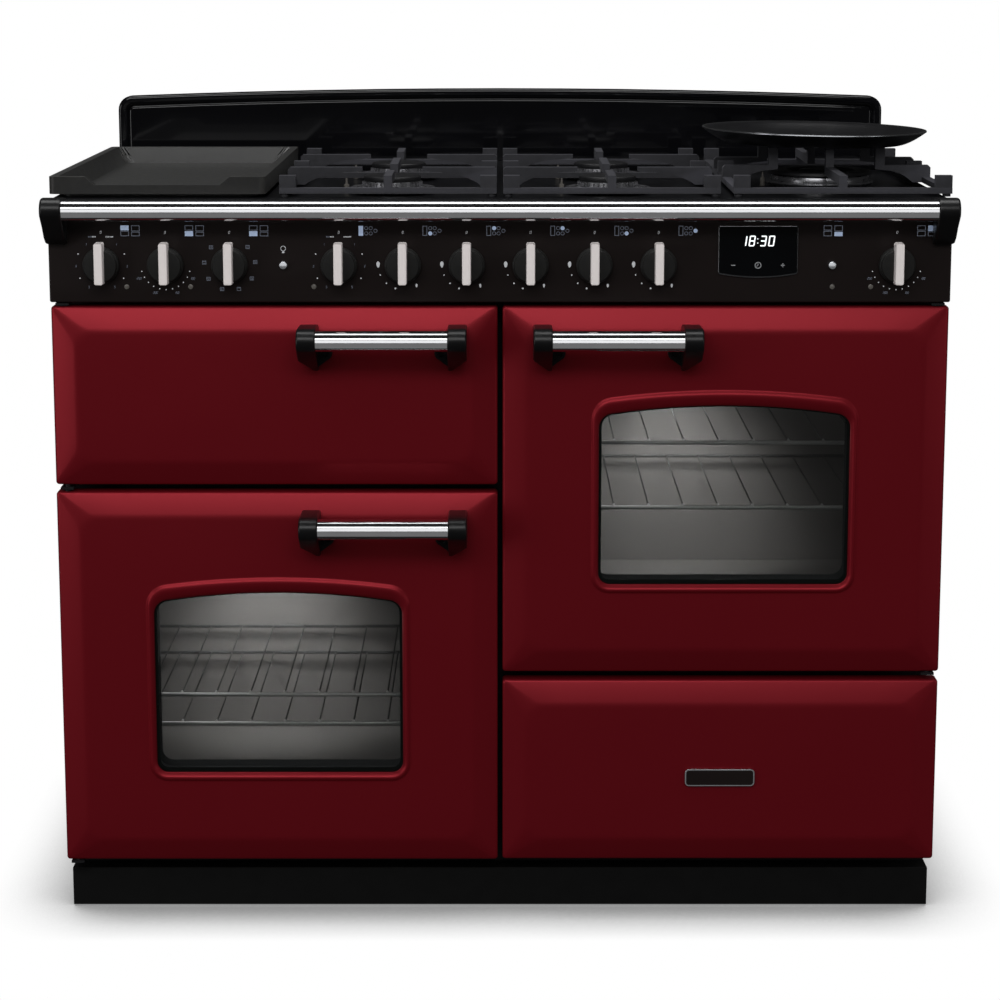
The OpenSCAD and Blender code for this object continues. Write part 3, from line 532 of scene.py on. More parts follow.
for label, body in (("grill", "grill_door"), ("left", "left_oven_door"), ("right", "right_oven_door")):
    glass = None if label == "grill" else f"{label}_door_glass"
    door_pan(f"{label}_door_pan", body, f"{label}_door_panel", glass)
    if glass:
        glazing(f"{label}_door_glazing", body, glass)
    door_handle(f"{label}_door_handle_set", body, f"{label}_door_handle")


def drawer_pan():
    """The drawer's enamelled front and the flat sheet that closes its back."""
    low, high = size_of("drawer_front")
    door_pan("drawer_pan", "drawer", "drawer_front")
    bm = bmesh.new()
    y0 = high.y - 2 * MM
    box_into(bm, (low.x + 1.6 * MM, y0, low.z + 1.6 * MM), (high.x - 1.6 * MM, high.y, high.z - 1.6 * MM))
    obj = finish_mesh("drawer_back_sheet", bm, M["zinc"], smooth=0)
    bevel(obj, 0.5 * MM, 2)
    piece(obj, "drawer", "galvanised_steel")


drawer_pan()


def badge_plate():
    """Blank name plate with a bright border."""
    low, high = size_of("badge")
    for name, grow, y0, y1, mat in (("badge_rim", 0, low.y + 0.5 * MM, high.y, M["silver"]),
                                    ("badge_face", -1.6 * MM, low.y, high.y - 0.5 * MM, M["fascia"])):
        ring = outline(low.x - grow, high.x + grow, low.z - grow, high.z + grow, 5 * MM + grow, 5 * MM + grow)
        bm = bmesh.new()
        extrude_profile(bm, ring, "Y", y0, y1)
        obj = finish_mesh(name, bm, mat, smooth=30)
        bevel(obj, 0.25 * MM, 2)
        piece(obj, "drawer", "badge_metal", *(("badge",) if name == "badge_rim" else ()))
        if name == "badge_rim":
            bright_parts.append(obj)


badge_plate()


# ---- CAD nodes that only need their finish
def dress(node, material, width=0.4):
    """Gives a CAD node its material and softly rounded edges."""
    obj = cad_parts[node]
    mesh = obj.data
    mesh.materials.clear()
    mesh.materials.append(material)
    if "custom_normal" in mesh.attributes:
        mesh.attributes.remove(mesh.attributes["custom_normal"])
    mesh.shade_smooth()
    weld = obj.modifiers.new("Weld", "WELD")
    weld.merge_threshold = 1e-5
    mod = bevel(obj, width * MM, 2, 32)
    mod.harden_normals = True
    return obj


for node, mat, width in (
        ("base_frame", "case", 0.5), ("back_panel", "zinc", 0.4), ("drawer_runners", "zinc", 0.4),
        ("hinge_brackets", "case", 0.4), ("drawer_box", "zinc", 0.4), ("side_panels", "case", 0.6),
        ("plinth", "plinth", 0.4), ("front_frame", "case", 0.4), ("hob_tray", "hob", 0.8),
        ("ceramic_zone", "ceramic", 0.4), ("gas_rail", "brass", 0.6), ("levelling_feet", "rubber", 1.0),
        ("rear_fittings", "brass", 0.5), ("grill_liner", "liner", 0.4), ("grill_pan", "inner", 0.4),
        ("grill_element", "rod", 0.2), ("door_seals", "seal", 1.5), ("grill_door_liner", "inner", 0.5),
        ("left_door_liner", "inner", 0.5), ("right_door_liner", "inner", 0.5), ("oven_fan_left", "zinc", 0.2),
        ("oven_fan_right", "zinc", 0.2), ("trivet_left", "iron", 1.3), ("trivet_centre", "iron", 1.3),
        ("trivet_right", "iron", 1.3), ("griddle", "griddle", 1.2)):
    dress(node, M[mat], width)


def plinth_fold():
    """Fold along the top of the kick plate, back to the front frame."""
    low, high = size_of("plinth")
    bm = bmesh.new()
    box_into(bm, (low.x + MM, low.y + 2 * MM, high.z - 2 * MM), (high.x - MM, size_of("front_frame")[1].y, high.z))
    make("plinth_fold", bm, "plinth", "range_body", "black_enamel", smooth=0)


plinth_fold()


# ---- hob
def upstand():
    """Upstand along the rear: a plane face behind a groove in a rolled border, arched on top."""
    low, high = size_of("splashback")
    bm = bmesh.new()
    rise = 11 * MM
    rings = []
    for inset, depth, r in ((0, 18, 20), (0, 4.2, 20), (0.5, 2.2, 19.5), (1.7, 0.7, 18.5), (3.6, 0.05, 17),
                            (6, 0, 15), (9, 0.5, 12.5), (11.4, 1.9, 10.5), (12.9, 3.8, 9), (13.8, 5.4, 8.4),
                            (14.6, 6.0, 8), (15.5, 5.6, 7.6), (16.4, 5.0, 7), (17.4, 4.7, 6.6), (18.4, 4.6, 6),
                            (24, 4.6, 4)):
        pts = outline(low.x + inset * MM, high.x - inset * MM, low.z, high.z - inset * MM, r * MM, 0.4 * MM, rise)
        rings.append([(x, low.y + depth * MM, z) for x, z in pts])
    add_rings(bm, rings, cap_first=True, cap_last=True)
    make("upstand", bm, "upstand", "range_body", "black_enamel", "splashback", smooth=50)


upstand()


def burners():
    """Shiny flared skirts with slotted crowns, matt enamelled caps and spark electrodes."""
    skirt, crown, cap, pins = bmesh.new(), bmesh.new(), bmesh.new(), bmesh.new()
    for x, y, r, c in BURNERS:
        at = (x * MM, (y + FRONT) * MM, WELL * MM)
        lathe(skirt, mm((0, 0.2), (r - 10, 0.2), (r - 4, 2.6), (r - 0.6, 5.6), (r, 6.8), (r - 0.5, 7.9), (c + 8, 8.7),
                        (c + 4, 9.4), (0, 9.4)), at, steps=72)
        lathe(crown, mm((0, 9), (c + 1, 9), (c + 1.6, 10), (c + 0.6, 15.4), (c - 0.4, 16), (0, 16)), at, steps=72)
        teeth = 36 if r < 60 else 28
        for k in range(teeth):
            turn = 2 * math.pi * k / teeth
            box_into(crown, (at[0] - 0.9 * MM, at[1] - 0.9 * MM, at[2] + 10.2 * MM),
                     (at[0] + 0.9 * MM, at[1] + 0.9 * MM, at[2] + 15 * MM))
            for v in list(crown.verts)[-8:]:
                v.co.x += (c + 1.2) * MM * math.cos(turn)
                v.co.y += (c + 1.2) * MM * math.sin(turn)
        lathe(cap, mm((0, 16), (c - 0.5, 16), (c, 16.6), (c, 20.6), (c - 0.7, 21.9), (c - 2.2, 22.6), (c * 0.55, 23),
                      (0, 23)), at, steps=72)
        lathe(pins, mm((0, 0.5), (3.4, 0.5), (3.4, 11), (1.4, 12), (1.3, 18.4), (0, 19)),
              (at[0] - (r + 4) * MM, at[1], at[2]), steps=20)
    lathe(skirt, mm((44, 8), (64, 8), (64, 12), (62, 17), (46, 17), (44, 12), (44, 8)), at, steps=96)
    lathe(cap, mm((43.5, 17.2), (66.4, 17.2), (67, 18), (65.6, 21.4), (64, 22), (46, 22), (44.6, 21.4), (43, 18),
                  (43.5, 17.2)), at, steps=96)
    make("burner_skirts", skirt, "alloy", "range_body", "burner_alloy", "burner_bases")
    make("burner_crowns", crown, "alloy", "range_body", "burner_alloy", smooth=30)
    make("burner_cap_discs", cap, "cap", "range_body", "burner_cap_enamel", "burner_caps")
    make("spark_pins", pins, "lens", "range_body", "burner_alloy")


burners()


def wok_dish():
    """Spun dish with a thin ground rim, standing a little askew on the lugs of the right support."""
    at = Vector((DISH_X * MM, (DISH_Y + FRONT) * MM, DISH * MM))
    steps, base, rim = 14, 112, 17.5
    outer = [(base + (145 - base) * i / steps, rim * (i / steps) ** 1.5) for i in range(1, steps + 1)]
    inner = [(base - 2 + (143 - base) * i / steps, 2.5 + (rim - 1.5) * (i / steps) ** 1.5)
             for i in range(steps, 0, -1)]
    bm = bmesh.new()
    lathe(bm, mm((0, 0), (base - 12, 0), (base - 3, 0.05), (base, 0.4), *outer[:-1], (144.6, rim - 0.2),
                 (144.9, rim + 0.8), (144, rim + 1.4), (142.6, rim + 1.2), *inner[1:], (base - 8, 2.5), (0, 2.5)),
          (0, 0, 0), steps=128)
    turn = Matrix.Translation(at) @ Matrix.Rotation(math.radians(0.9), 4, "Y")
    bmesh.ops.transform(bm, matrix=turn, verts=bm.verts)
    make("wok_dish", bm, "wok", "wok", "cast_iron", "wok", smooth=50)
    bm = bmesh.new()
    lathe(bm, mm((143, rim + 1.3), (144.5, rim + 1.3), (144.95, rim + 0.6), (144.8, rim - 0.4), (144.4, rim + 0.2),
                 (143, rim + 1.3)), (0, 0, 0), steps=128)
    bmesh.ops.transform(bm, matrix=turn, verts=bm.verts)
    bright_parts.append(make("wok_rim", bm, "silver", "wok", "cast_iron", smooth=50))


wok_dish()


# ---- rail and control panel
def towel_rail():
    """Chrome bar along the hob's front between two black brackets."""
    low, high = size_of("handrail")
    y, z, r = (low.y + high.y) / 2, (low.z + high.z) / 2, 13 * MM
    bm = bmesh.new()
    lathe(bm, [(0, low.x + MM), (r - 0.5 * MM, low.x + MM), (r, low.x + 1.5 * MM), (r, high.x - 1.5 * MM),
               (r - 0.5 * MM, high.x - MM), (0, high.x - MM)], (0, y, z), steps=72, axis="X")
    bright_parts.append(make("rail_bar", bm, "chrome", "range_body", "chrome", "handrail"))
    low, high = size_of("handrail_brackets")
    bm = bmesh.new()
    back = high.y
    side = [(back, z + 12.6 * MM), (y + 6 * MM, z + 14.9 * MM)]
    side += [(y + 15 * MM * math.cos(math.radians(a)), z + 15 * MM * math.sin(math.radians(a)))
             for a in range(90, 216, 9)]
    side += [(y + 2 * MM, z - 22 * MM), (y + 12 * MM, z - 35 * MM), (y + 22 * MM, z - 42 * MM), (back, z - 44 * MM)]
    for x0, x1 in ((low.x, low.x + 26 * MM), (high.x - 26 * MM, high.x)):
        extrude_profile(bm, side, "X", x0, x1)
    obj = finish_mesh("rail_bracket_pair", bm, M["bracket"], smooth=30)
    bevel(obj, 2.6 * MM, 4, 40)
    piece(obj, "range_body", "bracket_black", "handrail_brackets")


towel_rail()

KNOBS = ["knob_grill", "knob_left_oven", "knob_left_function", "knob_griddle_zone", "knob_gas_front_left",
         "knob_gas_rear_left", "knob_gas_rear_centre", "knob_gas_front_centre", "knob_gas_wok", "knob_right_oven"]


def knob_axis(node):
    """X and Z of a knob's spindle: its grip reaches 22 mm below the spindle."""
    low, high = size_of(node)
    return (low.x + high.x) / 2, low.z + 22 * MM


PANEL_Y = size_of("control_panel")[0].y


def control_knob(node):
    """Black skirt with a stepped disc and a straight satin grip."""
    x, z = knob_axis(node)
    bm = bmesh.new()
    lathe(bm, mm((0, 0.6), (21.4, 0.6), (22, 1.3), (22, 7.4), (21.3, 8.9), (20.4, 9.3), (20.2, 10), (20, 14.8),
                 (19.2, 15.8), (18.2, 16), (0, 16)), (x, PANEL_Y, z), steps=72, axis="Y")
    make(node + "_skirt", bm, "knob", node, "knob_black", node)
    bm = bmesh.new()
    pts = outline(x - 5.5 * MM, x + 5.5 * MM, z - 22 * MM, z + 29 * MM, 2.6 * MM, 2.6 * MM)
    slim = outline(x - 5.1 * MM, x + 5.1 * MM, z - 21.4 * MM, z + 28.4 * MM, 2.3 * MM, 2.3 * MM)
    extrude = [[(a, PANEL_Y - h * MM, c) for a, c in ring] for ring, h in
               ((pts, 11.6), (pts, 15), (slim, 27.4), (outline(x - 4.3 * MM, x + 4.3 * MM, z - 20.6 * MM,
                                                              z + 27.6 * MM, 1.8 * MM, 1.8 * MM), 28))]
    add_rings(bm, extrude, cap_first=True, cap_last=True)
    obj = finish_mesh(node + "_grip", bm, M["grip"], smooth=25)
    bevel(obj, 0.5 * MM, 3, 30)
    bright_parts.append(piece(obj, node, "burner_alloy"))


for name in KNOBS:
    control_knob(name)


def panel_button(node):
    """Small domed metal cap on a push button."""
    low, high = size_of(node)
    x, z = (low.x + high.x) / 2, (low.z + high.z) / 2
    bm = bmesh.new()
    lathe(bm, mm((0, -14), (4.9, -14), (4.9, 3.6), (4.5, 4.5), (3.4, 5), (0, 5)), (x, PANEL_Y, z), steps=40, axis="Y")
    bright_parts.append(make(node + "_cap", bm, "silver", node, "chrome", node))


for name in ("button_light", "button_timer"):
    panel_button(name)


def panel_sheet():
    """Folded front of the controls: a flat face with rounded edges and returns on all four sides."""
    low, high = size_of("control_panel")
    bm = bmesh.new()
    rings = [pan_ring(low, high, inset, y, 2.5 * MM) for inset, y in (
        (0, high.y), (0, low.y + 2 * MM), (0.3 * MM, low.y + 0.9 * MM), (0.9 * MM, low.y + 0.25 * MM),
        (2 * MM, low.y))]
    add_rings(bm, rings, cap_last=True)
    add_rings(bm, [pan_ring(low, high, 2 * MM, low.y + 2 * MM, MM), pan_ring(low, high, 2 * MM, high.y, MM),
                   rings[0]], cap_first=True)
    make("panel_sheet", bm, "fascia", "range_body", "panel_black", "control_panel", smooth=60)


panel_sheet()


class Print:
    """Thin printed shapes on the panel: each colour is one flat mesh."""

    shapes = {}

    def __init__(self, x, z):
        self.x, self.z = x, z

    @classmethod
    def lay(cls, prefix, y, slot):
        """Makes one flat mesh of each colour at depth y, and forgets the shapes."""
        made = []
        for ink, faces in cls.shapes.items():
            bm = bmesh.new()
            for points in faces:
                bm.faces.new([bm.verts.new((px, y, pz)) for px, pz in points])
            bmesh.ops.recalc_face_normals(bm, faces=bm.faces)
            mesh = bpy.data.meshes.new(prefix + ink)
            bm.to_mesh(mesh)
            bm.free()
            mesh.materials.append(M[ink])
            made.append(piece(new_object(prefix + ink, mesh), "range_body", slot))
        cls.shapes.clear()
        return made

    def face(self, points, ink="print"):
        Print.shapes.setdefault(ink, []).append([(self.x + a * MM, self.z + b * MM) for a, b in points])

    def bar(self, x0, x1, z0, z1, ink="print"):
        self.face([(x0, z0), (x1, z0), (x1, z1), (x0, z1)], ink)

    def frame(self, x0, x1, z0, z1, w=0.7, ink="print"):
        for box in ((x0, x1, z0, z0 + w), (x0, x1, z1 - w, z1), (x0, x0 + w, z0 + w, z1 - w),
                    (x1 - w, x1, z0 + w, z1 - w)):
            self.bar(*box, ink=ink)

    def dot(self, cx, cz, r, ink="print"):
        self.face([(cx + r * math.cos(2 * math.pi * i / 16), cz + r * math.sin(2 * math.pi * i / 16))
                   for i in range(16)], ink)

    def ring(self, cx, cz, r, w=0.6, ink="print"):
        for i in range(20):
            a, b = 2 * math.pi * i / 20, 2 * math.pi * (i + 1) / 20
            self.face([(cx + p * math.cos(t), cz + p * math.sin(t)) for p, t in
                       ((r, a), (r, b), (r - w, b), (r - w, a))], ink)

    def line(self, ax, az, bx, bz, w=0.6, ink="print"):
        dx, dz = bx - ax, bz - az
        k = w / 2 / math.hypot(dx, dz)
        self.face([(ax - dz * k, az + dx * k), (ax + dz * k, az - dx * k), (bx + dz * k, bz - dx * k),
                   (bx - dz * k, bz + dx * k)], ink)

    def number(self, value, cx, cz, high, ink="print"):
        """Digits drawn with straight strokes."""
        wide = high * 0.5
        digits = str(value)
        start = cx - (len(digits) - 1) * wide * 0.75
        for i, digit in enumerate(digits):
            x0, z0 = start + i * wide * 1.5 - wide / 2, cz - high / 2
            x1, zm, z1 = x0 + wide, cz, cz + high / 2
            strokes = {"a": (x0, z1, x1, z1), "b": (x1, zm, x1, z1), "c": (x1, z0, x1, zm), "d": (x0, z0, x1, z0),
                       "e": (x0, z0, x0, zm), "f": (x0, zm, x0, z1), "g": (x0, zm, x1, zm)}
            lean = high * 0.07
            lit = {"0": "abcdef", "1": "bc", "2": "abged", "3": "abgcd", "4": "fgbc", "5": "afgcd", "6": "afgedc",
                   "7": "abc", "8": "abcdefg", "9": "abcdfg"}[digit]
            for key in lit:
                a, b, c, d = strokes[key]
                self.line(a + lean * (b - cz) / (high / 2), b, c + lean * (d - cz) / (high / 2), d, high * 0.13, ink)

    def flame(self, cx, cz, h, ink="print"):
        """Drop shape with a pointed top."""
        pts = [(cx + h * 0.33 * math.sin(t) * (1 - 0.35 * math.cos(t / 2) ** 2),
                cz - h * 0.5 * math.cos(t)) for t in [math.pi * 2 * i / 14 for i in range(14)]]
        self.face(pts, ink)


def polar(r, clock):
    """A place r from the knob's axis, at an hour of the clock."""
    a = math.radians(90 - clock * 30)
    return r * math.cos(a), r * math.sin(a)


def oven_icon(p, cell, shift=0):
    """Four cells that stand for the ovens, with one filled."""
    for i, (x0, x1, z0, z1) in enumerate(((24, 34, 42, 48), (24, 34, 35, 41.2), (37, 47, 41, 48), (37, 47, 35, 40.2))):
        x0, x1 = x0 + shift, x1 + shift
        if i == cell:
            p.bar(x0, x1, z0, z1, "tint")
        else:
            p.frame(x0, x1, z0, z1, ink="dim")


def hob_icon(p, cell):
    """The griddle zone and the burners, with one filled."""
    if cell == 0:
        p.bar(24, 29.5, 35.5, 47.5, "tint")
    else:
        p.frame(24, 29.5, 35.5, 47.5, ink="dim")
    for i, (cx, cz) in enumerate(((33.2, 38.3), (33.2, 44.7), (38.6, 44.7), (38.6, 38.3), (44.4, 41.5))):
        if i + 1 == cell:
            p.dot(cx, cz, 2.5, "tint")
        else:
            p.ring(cx, cz, 2.3, ink="dim")


def panel_print():
    """Marks round each knob, by its kind, and the small pictures of what it works."""
    for i, name in enumerate(KNOBS):
        x, z = knob_axis(name)
        p = Print(x, z)
        p.number(0, 0, 39.5, 3.0)
        if i in (0, 3):
            for side in (-1, 1):
                for step in range(5):
                    px, pz = polar(31, side * (1.2 + step * 0.95))
                    if step % 2:
                        p.dot(px, pz, 0.85)
                    else:
                        p.number(step + 1, px, pz, 2.6, "dim")
            for side in (-1, 1):
                for step in range(6):
                    start = side * 10.5 - 4.6 + step * 1.6
                    p.bar(start, start + 1.0, 33.4, 35.0, "dim" if side < 0 and step < 3 else "print")
        elif i in (1, 9):
            for step in range(11):
                p.dot(*polar(30, 3.5 + step * 0.5), 0.75)
            for step, value in enumerate((100, 150, 200, 250)):
                px, pz = polar(36.2, 3.9 + step * 1.4)
                p.number(value, px, pz, 2.6, "dim")
        elif i == 2:
            for step in range(8):
                px, pz = polar(31, 1.5 + step * 1.28)
                p.frame(px - 2.4, px + 2.4, pz - 2.2, pz + 2.2, 0.5, "dim")
                if step % 3 == 0:
                    p.line(px - 1.4, pz + 1.0, px + 1.4, pz + 1.0, 0.5, "dim")
                if step % 2 == 0:
                    p.line(px - 1.4, pz - 1.1, px + 1.4, pz - 1.1, 0.5, "dim")
                if step % 3:
                    p.ring(px, pz, 1.2, 0.4, "dim")
        else:
            p.flame(-30, 0.6, 7.5)
            for step in range(3):
                p.dot(*polar(30, 8.2 - step * 0.8), 0.8 + 0.15 * step)
            px, pz = polar(30, 4.9)
            p.flame(px, pz, 4.6)
        if i == 0:
            oven_icon(p, 0)
        elif i in (1, 2):
            oven_icon(p, 1)
        elif i == 9:
            oven_icon(p, 2)
        else:
            hob_icon(p, i - 3)
    low, high = size_of("button_light")
    p = Print((low.x + high.x) / 2, (low.z + high.z) / 2)
    p.ring(0, 20, 3.2)
    p.bar(-1.4, 1.4, 14.6, 16.4)
    low, high = size_of("button_timer")
    p = Print((low.x + high.x) / 2, (low.z + high.z) / 2)
    oven_icon(p, 3, shift=-35)
    bright_parts.extend(Print.lay("panel_", PANEL_Y - 0.15 * MM, "badge_metal"))


panel_print()


def clock_face():
    """Glass plate with a bowed foot, a silver strip under it, and lit digits."""
    low, high = size_of("clock_display")

    def plate(grow, foot):
        pts = outline(low.x - grow, high.x + grow, -high.z - grow, -low.z - foot, 3 * MM, 2 * MM, 4.6 * MM)
        return [(x, -z) for x, z in pts]

    for name, grow, foot, y0, y1, mat, slot in (
            ("clock_surround", 0, 0, low.y + 0.4 * MM, high.y, "silver", "badge_metal"),
            ("clock_glass", -0.25 * MM, 1.8 * MM, low.y, high.y - 0.2 * MM, "clock", "panel_black")):
        bm = bmesh.new()
        extrude_profile(bm, plate(grow, foot), "Y", y0, y1)
        obj = finish_mesh(name, bm, M[mat], smooth=30)
        bevel(obj, 0.25 * MM, 2)
        piece(obj, "range_body", slot, *(("clock_display",) if name == "clock_surround" else ()))
    p = Print((low.x + high.x) / 2, (low.z + high.z) / 2)
    for value, cx in (("1", -17.5), ("8", -7.5), ("3", 6), ("0", 16)):
        p.number(value, cx, 13.5, 11.5, "digits")
    p.dot(-0.8, 16, 0.7, "digits")
    p.dot(-0.8, 11, 0.7, "digits")
    p.line(-32.5, -16, -27.5, -16, 0.9, "print")
    p.ring(0, -16, 4, 0.8, "print")
    p.line(0, -16, 0, -13.6, 0.7, "print")
    p.line(0, -16, -1.8, -17.2, 0.7, "print")
    p.line(27.7, -16, 32.3, -16, 0.9, "print")
    p.line(30, -18.3, 30, -13.7, 0.9, "print")
    Print.lay("clock_", low.y - 0.02 * MM, "panel_black")


clock_face()


def lamps():
    """Small domed lenses of the indicator lamps."""
    low, high = size_of("indicator_lenses")
    bm = bmesh.new()
    for x in LAMP_X:
        lathe(bm, mm((0, 0), (3, 0), (3, 0.9), (2.2, 1.4), (0, 1.5)), (x * MM, PANEL_Y, (low.z + high.z) / 2),
              steps=24, axis="Y")
    make("lamp_lenses", bm, "lens", "range_body", "lens_plastic", "indicator_lenses")


lamps()


# ---- inside the ovens
def shelves():
    """Wire shelves: a thick bright front rail, and a rear rail, sides and cross wires that end in small bumps on the
    front rail. The rear rail, sides and cross wires are darker and rougher than the front rail though the wire is the
    same: painted shade."""
    bright, shaded = bmesh.new(), bmesh.new()
    for x0, x1, _, _, heights, _ in OVENS.values():
        for z in heights:
            a, b, y0, y1 = x0 + 4, x1 - 4, SHELF_FRONT, SHELF_BACK

            def at(x, y, up=0.0):
                return (x * MM, (y + FRONT) * MM, (z + up) * MM)

            tube(bright, [at(a, y0 + 8), at(a + 2, y0 + 2.5), at(a + 8, y0), at(b - 8, y0), at(b - 2, y0 + 2.5),
                          at(b, y0 + 8)], 2.6 * MM, 12)
            tube(shaded, [at(a, y0 + 8), at(a, y1 - 6), at(a + 6, y1), at(b - 6, y1), at(b, y1 - 6), at(b, y0 + 8)],
                 2.2 * MM, 10)
            for k in range(-4, 5):
                x = (a + b) / 2 + (b - a) * k / 10
                tube(shaded, [at(x, y0 + 3, 1.2), at(x, y1, 1.2)], 1.0 * MM, 8)
                tube(bright, [at(x, y0 - 0.5, 3.2), at(x, y0 + 4, 3.0)], 1.5 * MM, 8)
    make("oven_shelf_rails", bright, "wire", "range_body", "chrome", "oven_shelves", smooth=60)
    make("oven_shelf_wires", shaded, "wire_shaded", "range_body", "chrome", smooth=60)


shelves()


def oven_lining(side):
    """Five enamelled walls with rounded corners, pressed shelf runners and a rear baffle with slots at its top, drawn
    as dark patches: painted shade of the openings.
    """
    node = side + "_oven_liner"
    low = size_of(node)[0]
    x0, x1, z0, z1 = (v * MM for v in OVENS[side][:4])
    back = (OVEN_BACK + FRONT) * MM
    bm = bmesh.new()
    rings = []
    for y, g in ((low.y, 1.4), (low.y, 0), (back - 14 * MM, 0), (back - 6 * MM, -1.8), (back - 1.5 * MM, -6),
                 (back, -14)):
        pts = outline(x0 - g * MM, x1 + g * MM, z0 - g * MM, z1 + g * MM, max(18 + g, 4) * MM, max(18 + g, 4) * MM)
        rings.append([(x, y, z) for x, z in pts])
    shell = outline(x0 - 1.4 * MM, x1 + 1.4 * MM, z0 - 1.4 * MM, z1 + 1.4 * MM, 19 * MM, 19 * MM)
    add_rings(bm, rings, cap_last=True)
    add_rings(bm, [[(x, low.y, z) for x, z in shell], [(x, back + 1.4 * MM, z) for x, z in shell]], cap_last=True)
    lathe(bm, mm((0, -490), (30, -490), (30, -461.4), (0, -461.4)), ((x0 + x1) / 2, FRONT * MM, (z0 + z1) / 2),
          axis="Y")
    make(node + "_shell", bm, "liner", "range_body", "oven_enamel", node, smooth=50)
    bm = bmesh.new()
    y = (BAFFLE + FRONT) * MM
    for z in OVENS[side][4] + OVENS[side][5]:
        for x, inner in ((x0, 1), (x1, -1)):
            profile = [(x, (z - 8.5) * MM), (x + inner * 6 * MM, (z - 7) * MM), (x + inner * 8.8 * MM, (z - 5.4) * MM),
                       (x + inner * 8.6 * MM, (z - 3.6) * MM), (x, (z - 2.6) * MM)]
            extrude_profile(bm, profile, "Y", low.y + 12 * MM, y)
    pts = outline(x0 + 0.5 * MM, x1 - 0.5 * MM, z0 + 0.5 * MM, z1 - 0.5 * MM, 17 * MM, 17 * MM)
    extrude_profile(bm, pts, "Y", y, y + 1.5 * MM)
    obj = finish_mesh(node + "_runners", bm, M["liner"], smooth=40)
    piece(obj, "range_body", "oven_enamel")
    # Dark patches on the baffle stand for its slots: painted shade where the openings are.
    bm = bmesh.new()
    for k in range(-3, 4):
        x, z = (x0 + x1) / 2 + 58 * k * MM, z1 - 16 * MM
        pts = outline(x - 20 * MM, x + 20 * MM, z - 4 * MM, z + 4 * MM, 3.9 * MM, 3.9 * MM)
        extrude_profile(bm, pts, "Y", y - 0.2 * MM, y + 0.4 * MM)
    make(node + "_slot_shade", bm, "knob", "range_body", "oven_enamel")


oven_lining("left")
oven_lining("right")


# ---- room, lights and camera
def room():
    """White glowing floor with a painted shadow close to what stands on it: ambient occlusion dims the glow there."""
    bm = bmesh.new()
    bmesh.ops.create_grid(bm, x_segments=1, y_segments=1, size=12)
    mesh = bpy.data.meshes.new("floor")
    bm.to_mesh(mesh)
    bm.free()
    mat, n, out = new_material("floor_white")
    shade = n.add("ShaderNodeAmbientOcclusion", samples=12, distance=0.12)
    ramp = n.add("ShaderNodeMapRange", value=shade.outputs["AO"], from_min=0.45, from_max=0.97, to_min=0.26,
                 to_max=1.0)
    glow = n.add("ShaderNodeEmission", color=(1, 1, 1, 1), strength=ramp.outputs[0])
    n.link(glow.outputs[0], out.inputs[0])
    mesh.materials.append(mat)
    floor = new_object("floor", mesh)
    floor.visible_glossy = False
    floor.visible_diffuse = False


def lamp_at(name, kind, at, power, **settings):
    """A lamp of the given kind; to, if set, is the place it faces."""
    light = bpy.data.lights.new(name, kind)
    light.energy = power
    to = settings.pop("to", None)
    for key, value in settings.items():
        setattr(light, key, value)
    obj = new_object(name, light)
    obj.location = at
    if to:
        obj.rotation_euler = (Vector(to) - Vector(at)).to_track_quat("-Z", "Y").to_euler()
    return obj


def area(name, at, to, w, h, power):
    """Soft rectangular lamp."""
    return lamp_at(name, "AREA", at, power, to=to, shape="RECTANGLE", size=w, size_y=h)


def oven_light(side, x, z):
    """A weak lamp inside an oven, and a soft-edged one that throws an uneven pool on its rear wall."""
    lamp_at("oven_glow_" + side, "POINT", (x - 0.08, -0.10, z - 0.10), 0.5, shadow_soft_size=0.10)
    lamp_at("oven_pool_" + side, "SPOT", (x - 0.01, -0.04, z - 0.03), 7.0, to=(x, 0.16, z - 0.26),
            shadow_soft_size=0.05, spot_size=math.radians(70), spot_blend=1.0)


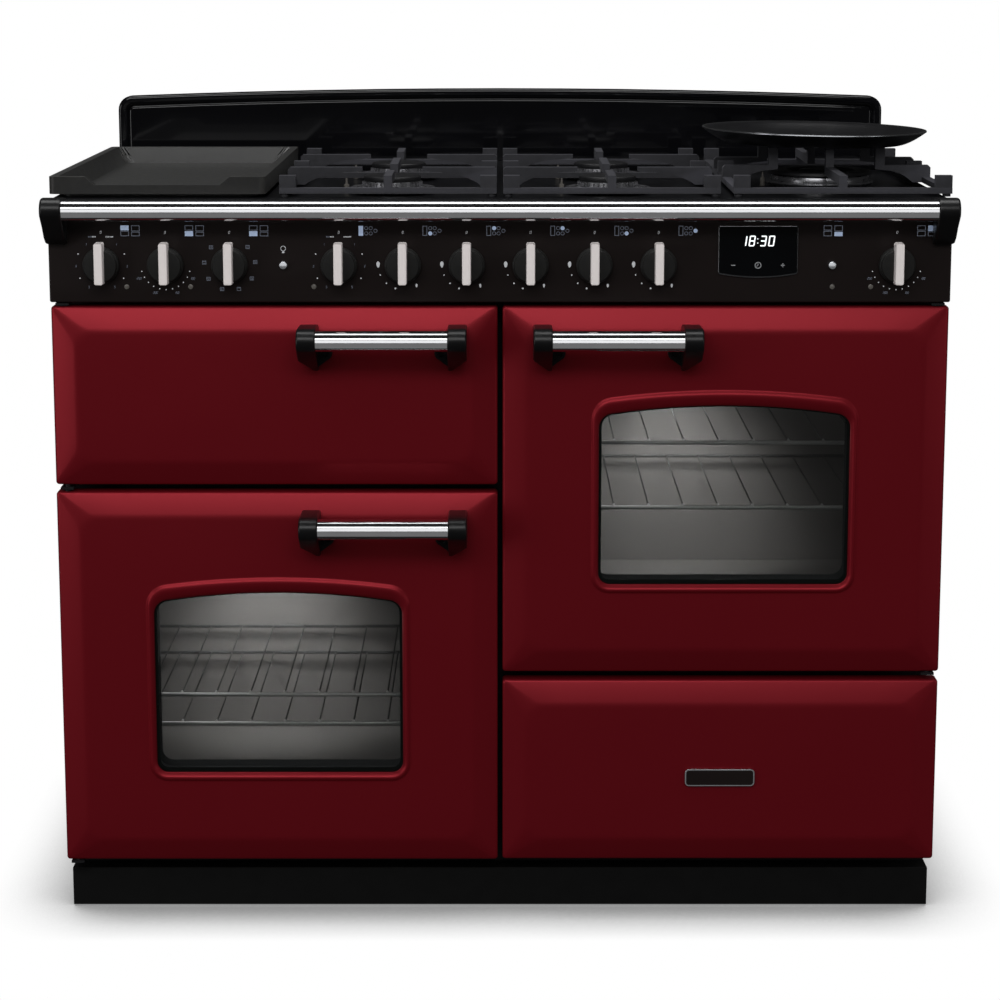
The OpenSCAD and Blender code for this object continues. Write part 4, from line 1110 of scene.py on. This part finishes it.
def studio_sky():
    """White behind the range, a soft dome that lights it, and next to nothing to mirror."""
    world = bpy.data.worlds.new("studio")
    bpy.context.scene.world = world
    world.use_nodes = True
    n = Nodes(world.node_tree)
    out = n.add("ShaderNodeOutputWorld")
    path = n.add("ShaderNodeLightPath")
    seen = n.add("ShaderNodeBackground", color=(1, 1, 1, 1), strength=1.0)
    place = n.add("ShaderNodeTexCoord")
    split = n.add("ShaderNodeSeparateXYZ", vector=place.outputs["Generated"])
    rise = n.add("ShaderNodeMapRange", value=split.outputs["Z"], from_min=-0.15, from_max=0.35, to_min=0.05,
                 to_max=0.50)
    soft = n.add("ShaderNodeBackground", color=(1, 1, 1, 1), strength=rise.outputs[0])
    dark = n.add("ShaderNodeBackground", color=(1, 1, 1, 1), strength=0.02)
    gloss = n.add("ShaderNodeMixShader", fac=path.outputs["Is Glossy Ray"])
    n.link(soft.outputs[0], gloss.inputs[1])
    n.link(dark.outputs[0], gloss.inputs[2])
    mix = n.add("ShaderNodeMixShader", fac=path.outputs["Is Camera Ray"])
    n.link(gloss.outputs[0], mix.inputs[1])
    n.link(seen.outputs[0], mix.inputs[2])
    n.link(mix.outputs[0], out.inputs[0])


def lights():
    """Soft lamps round the range; two of them only light the bright bars, one only what it lights from behind."""
    area("front_top", (-0.5, -3.6, 2.95), (0, -0.3, 0.75), 3.6, 0.9, 37)
    area("left_side", (-3.3, -2.3, 0.9), (0, -0.2, 0.6), 0.9, 1.8, 12)
    area("right_side", (3.6, -2.2, 0.9), (0, -0.2, 0.6), 0.7, 1.6, 4)
    area("overhead", (0, -0.1, 3.0), (0, 0.0, 0.9), 2.6, 0.9, 26)
    rear = area("rear_left", (-2.2, 1.4, 2.5), (0, 0, 0.9), 1.2, 0.8, 26)
    behind = bpy.data.collections.new("lit_from_behind")
    for node in ("griddle", "trivet_left", "trivet_centre", "trivet_right", "back_panel", "rear_fittings",
                 "side_panels", "levelling_feet"):
        behind.objects.link(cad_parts[node])
    rear.light_linking.receiver_collection = behind
    band = area("bar_band", (0, -3.5, 1.05), (0, -0.3, 0.9), 6.0, 1.9, 44)
    card = area("bar_card", (0, -1.7, 0.02), (0, -1.7, 1.0), 6.0, 2.4, 9)
    shine = bpy.data.collections.new("bright_bars")
    for obj in bright_parts:
        shine.objects.link(obj)
    for lamp in (band, card):
        lamp.light_linking.receiver_collection = shine
        lamp.visible_camera = False
    oven_light("left", -0.32, 0.47)
    oven_light("right", 0.24, 0.70)


def camera():
    """Stands in front, a little above the hob, with the picture shifted down as a product photograph has it."""
    data = bpy.data.cameras.new("camera")
    data.sensor_width = 36
    data.lens = FOCAL * data.sensor_width / PICTURE
    data.shift_y = -0.12
    obj = new_object("camera", data)
    obj.location = (0, (-EYE_BACK + FRONT) * MM, EYE_HIGH * MM)
    obj.rotation_euler = (math.radians(90 - EYE_TILT), 0, 0)
    data.clip_end = 50
    bpy.context.scene.camera = obj


room()
studio_sky()
lights()
camera()
bpy.context.scene.view_settings.view_transform = "Standard"
bpy.context.scene.view_settings.look = "None"
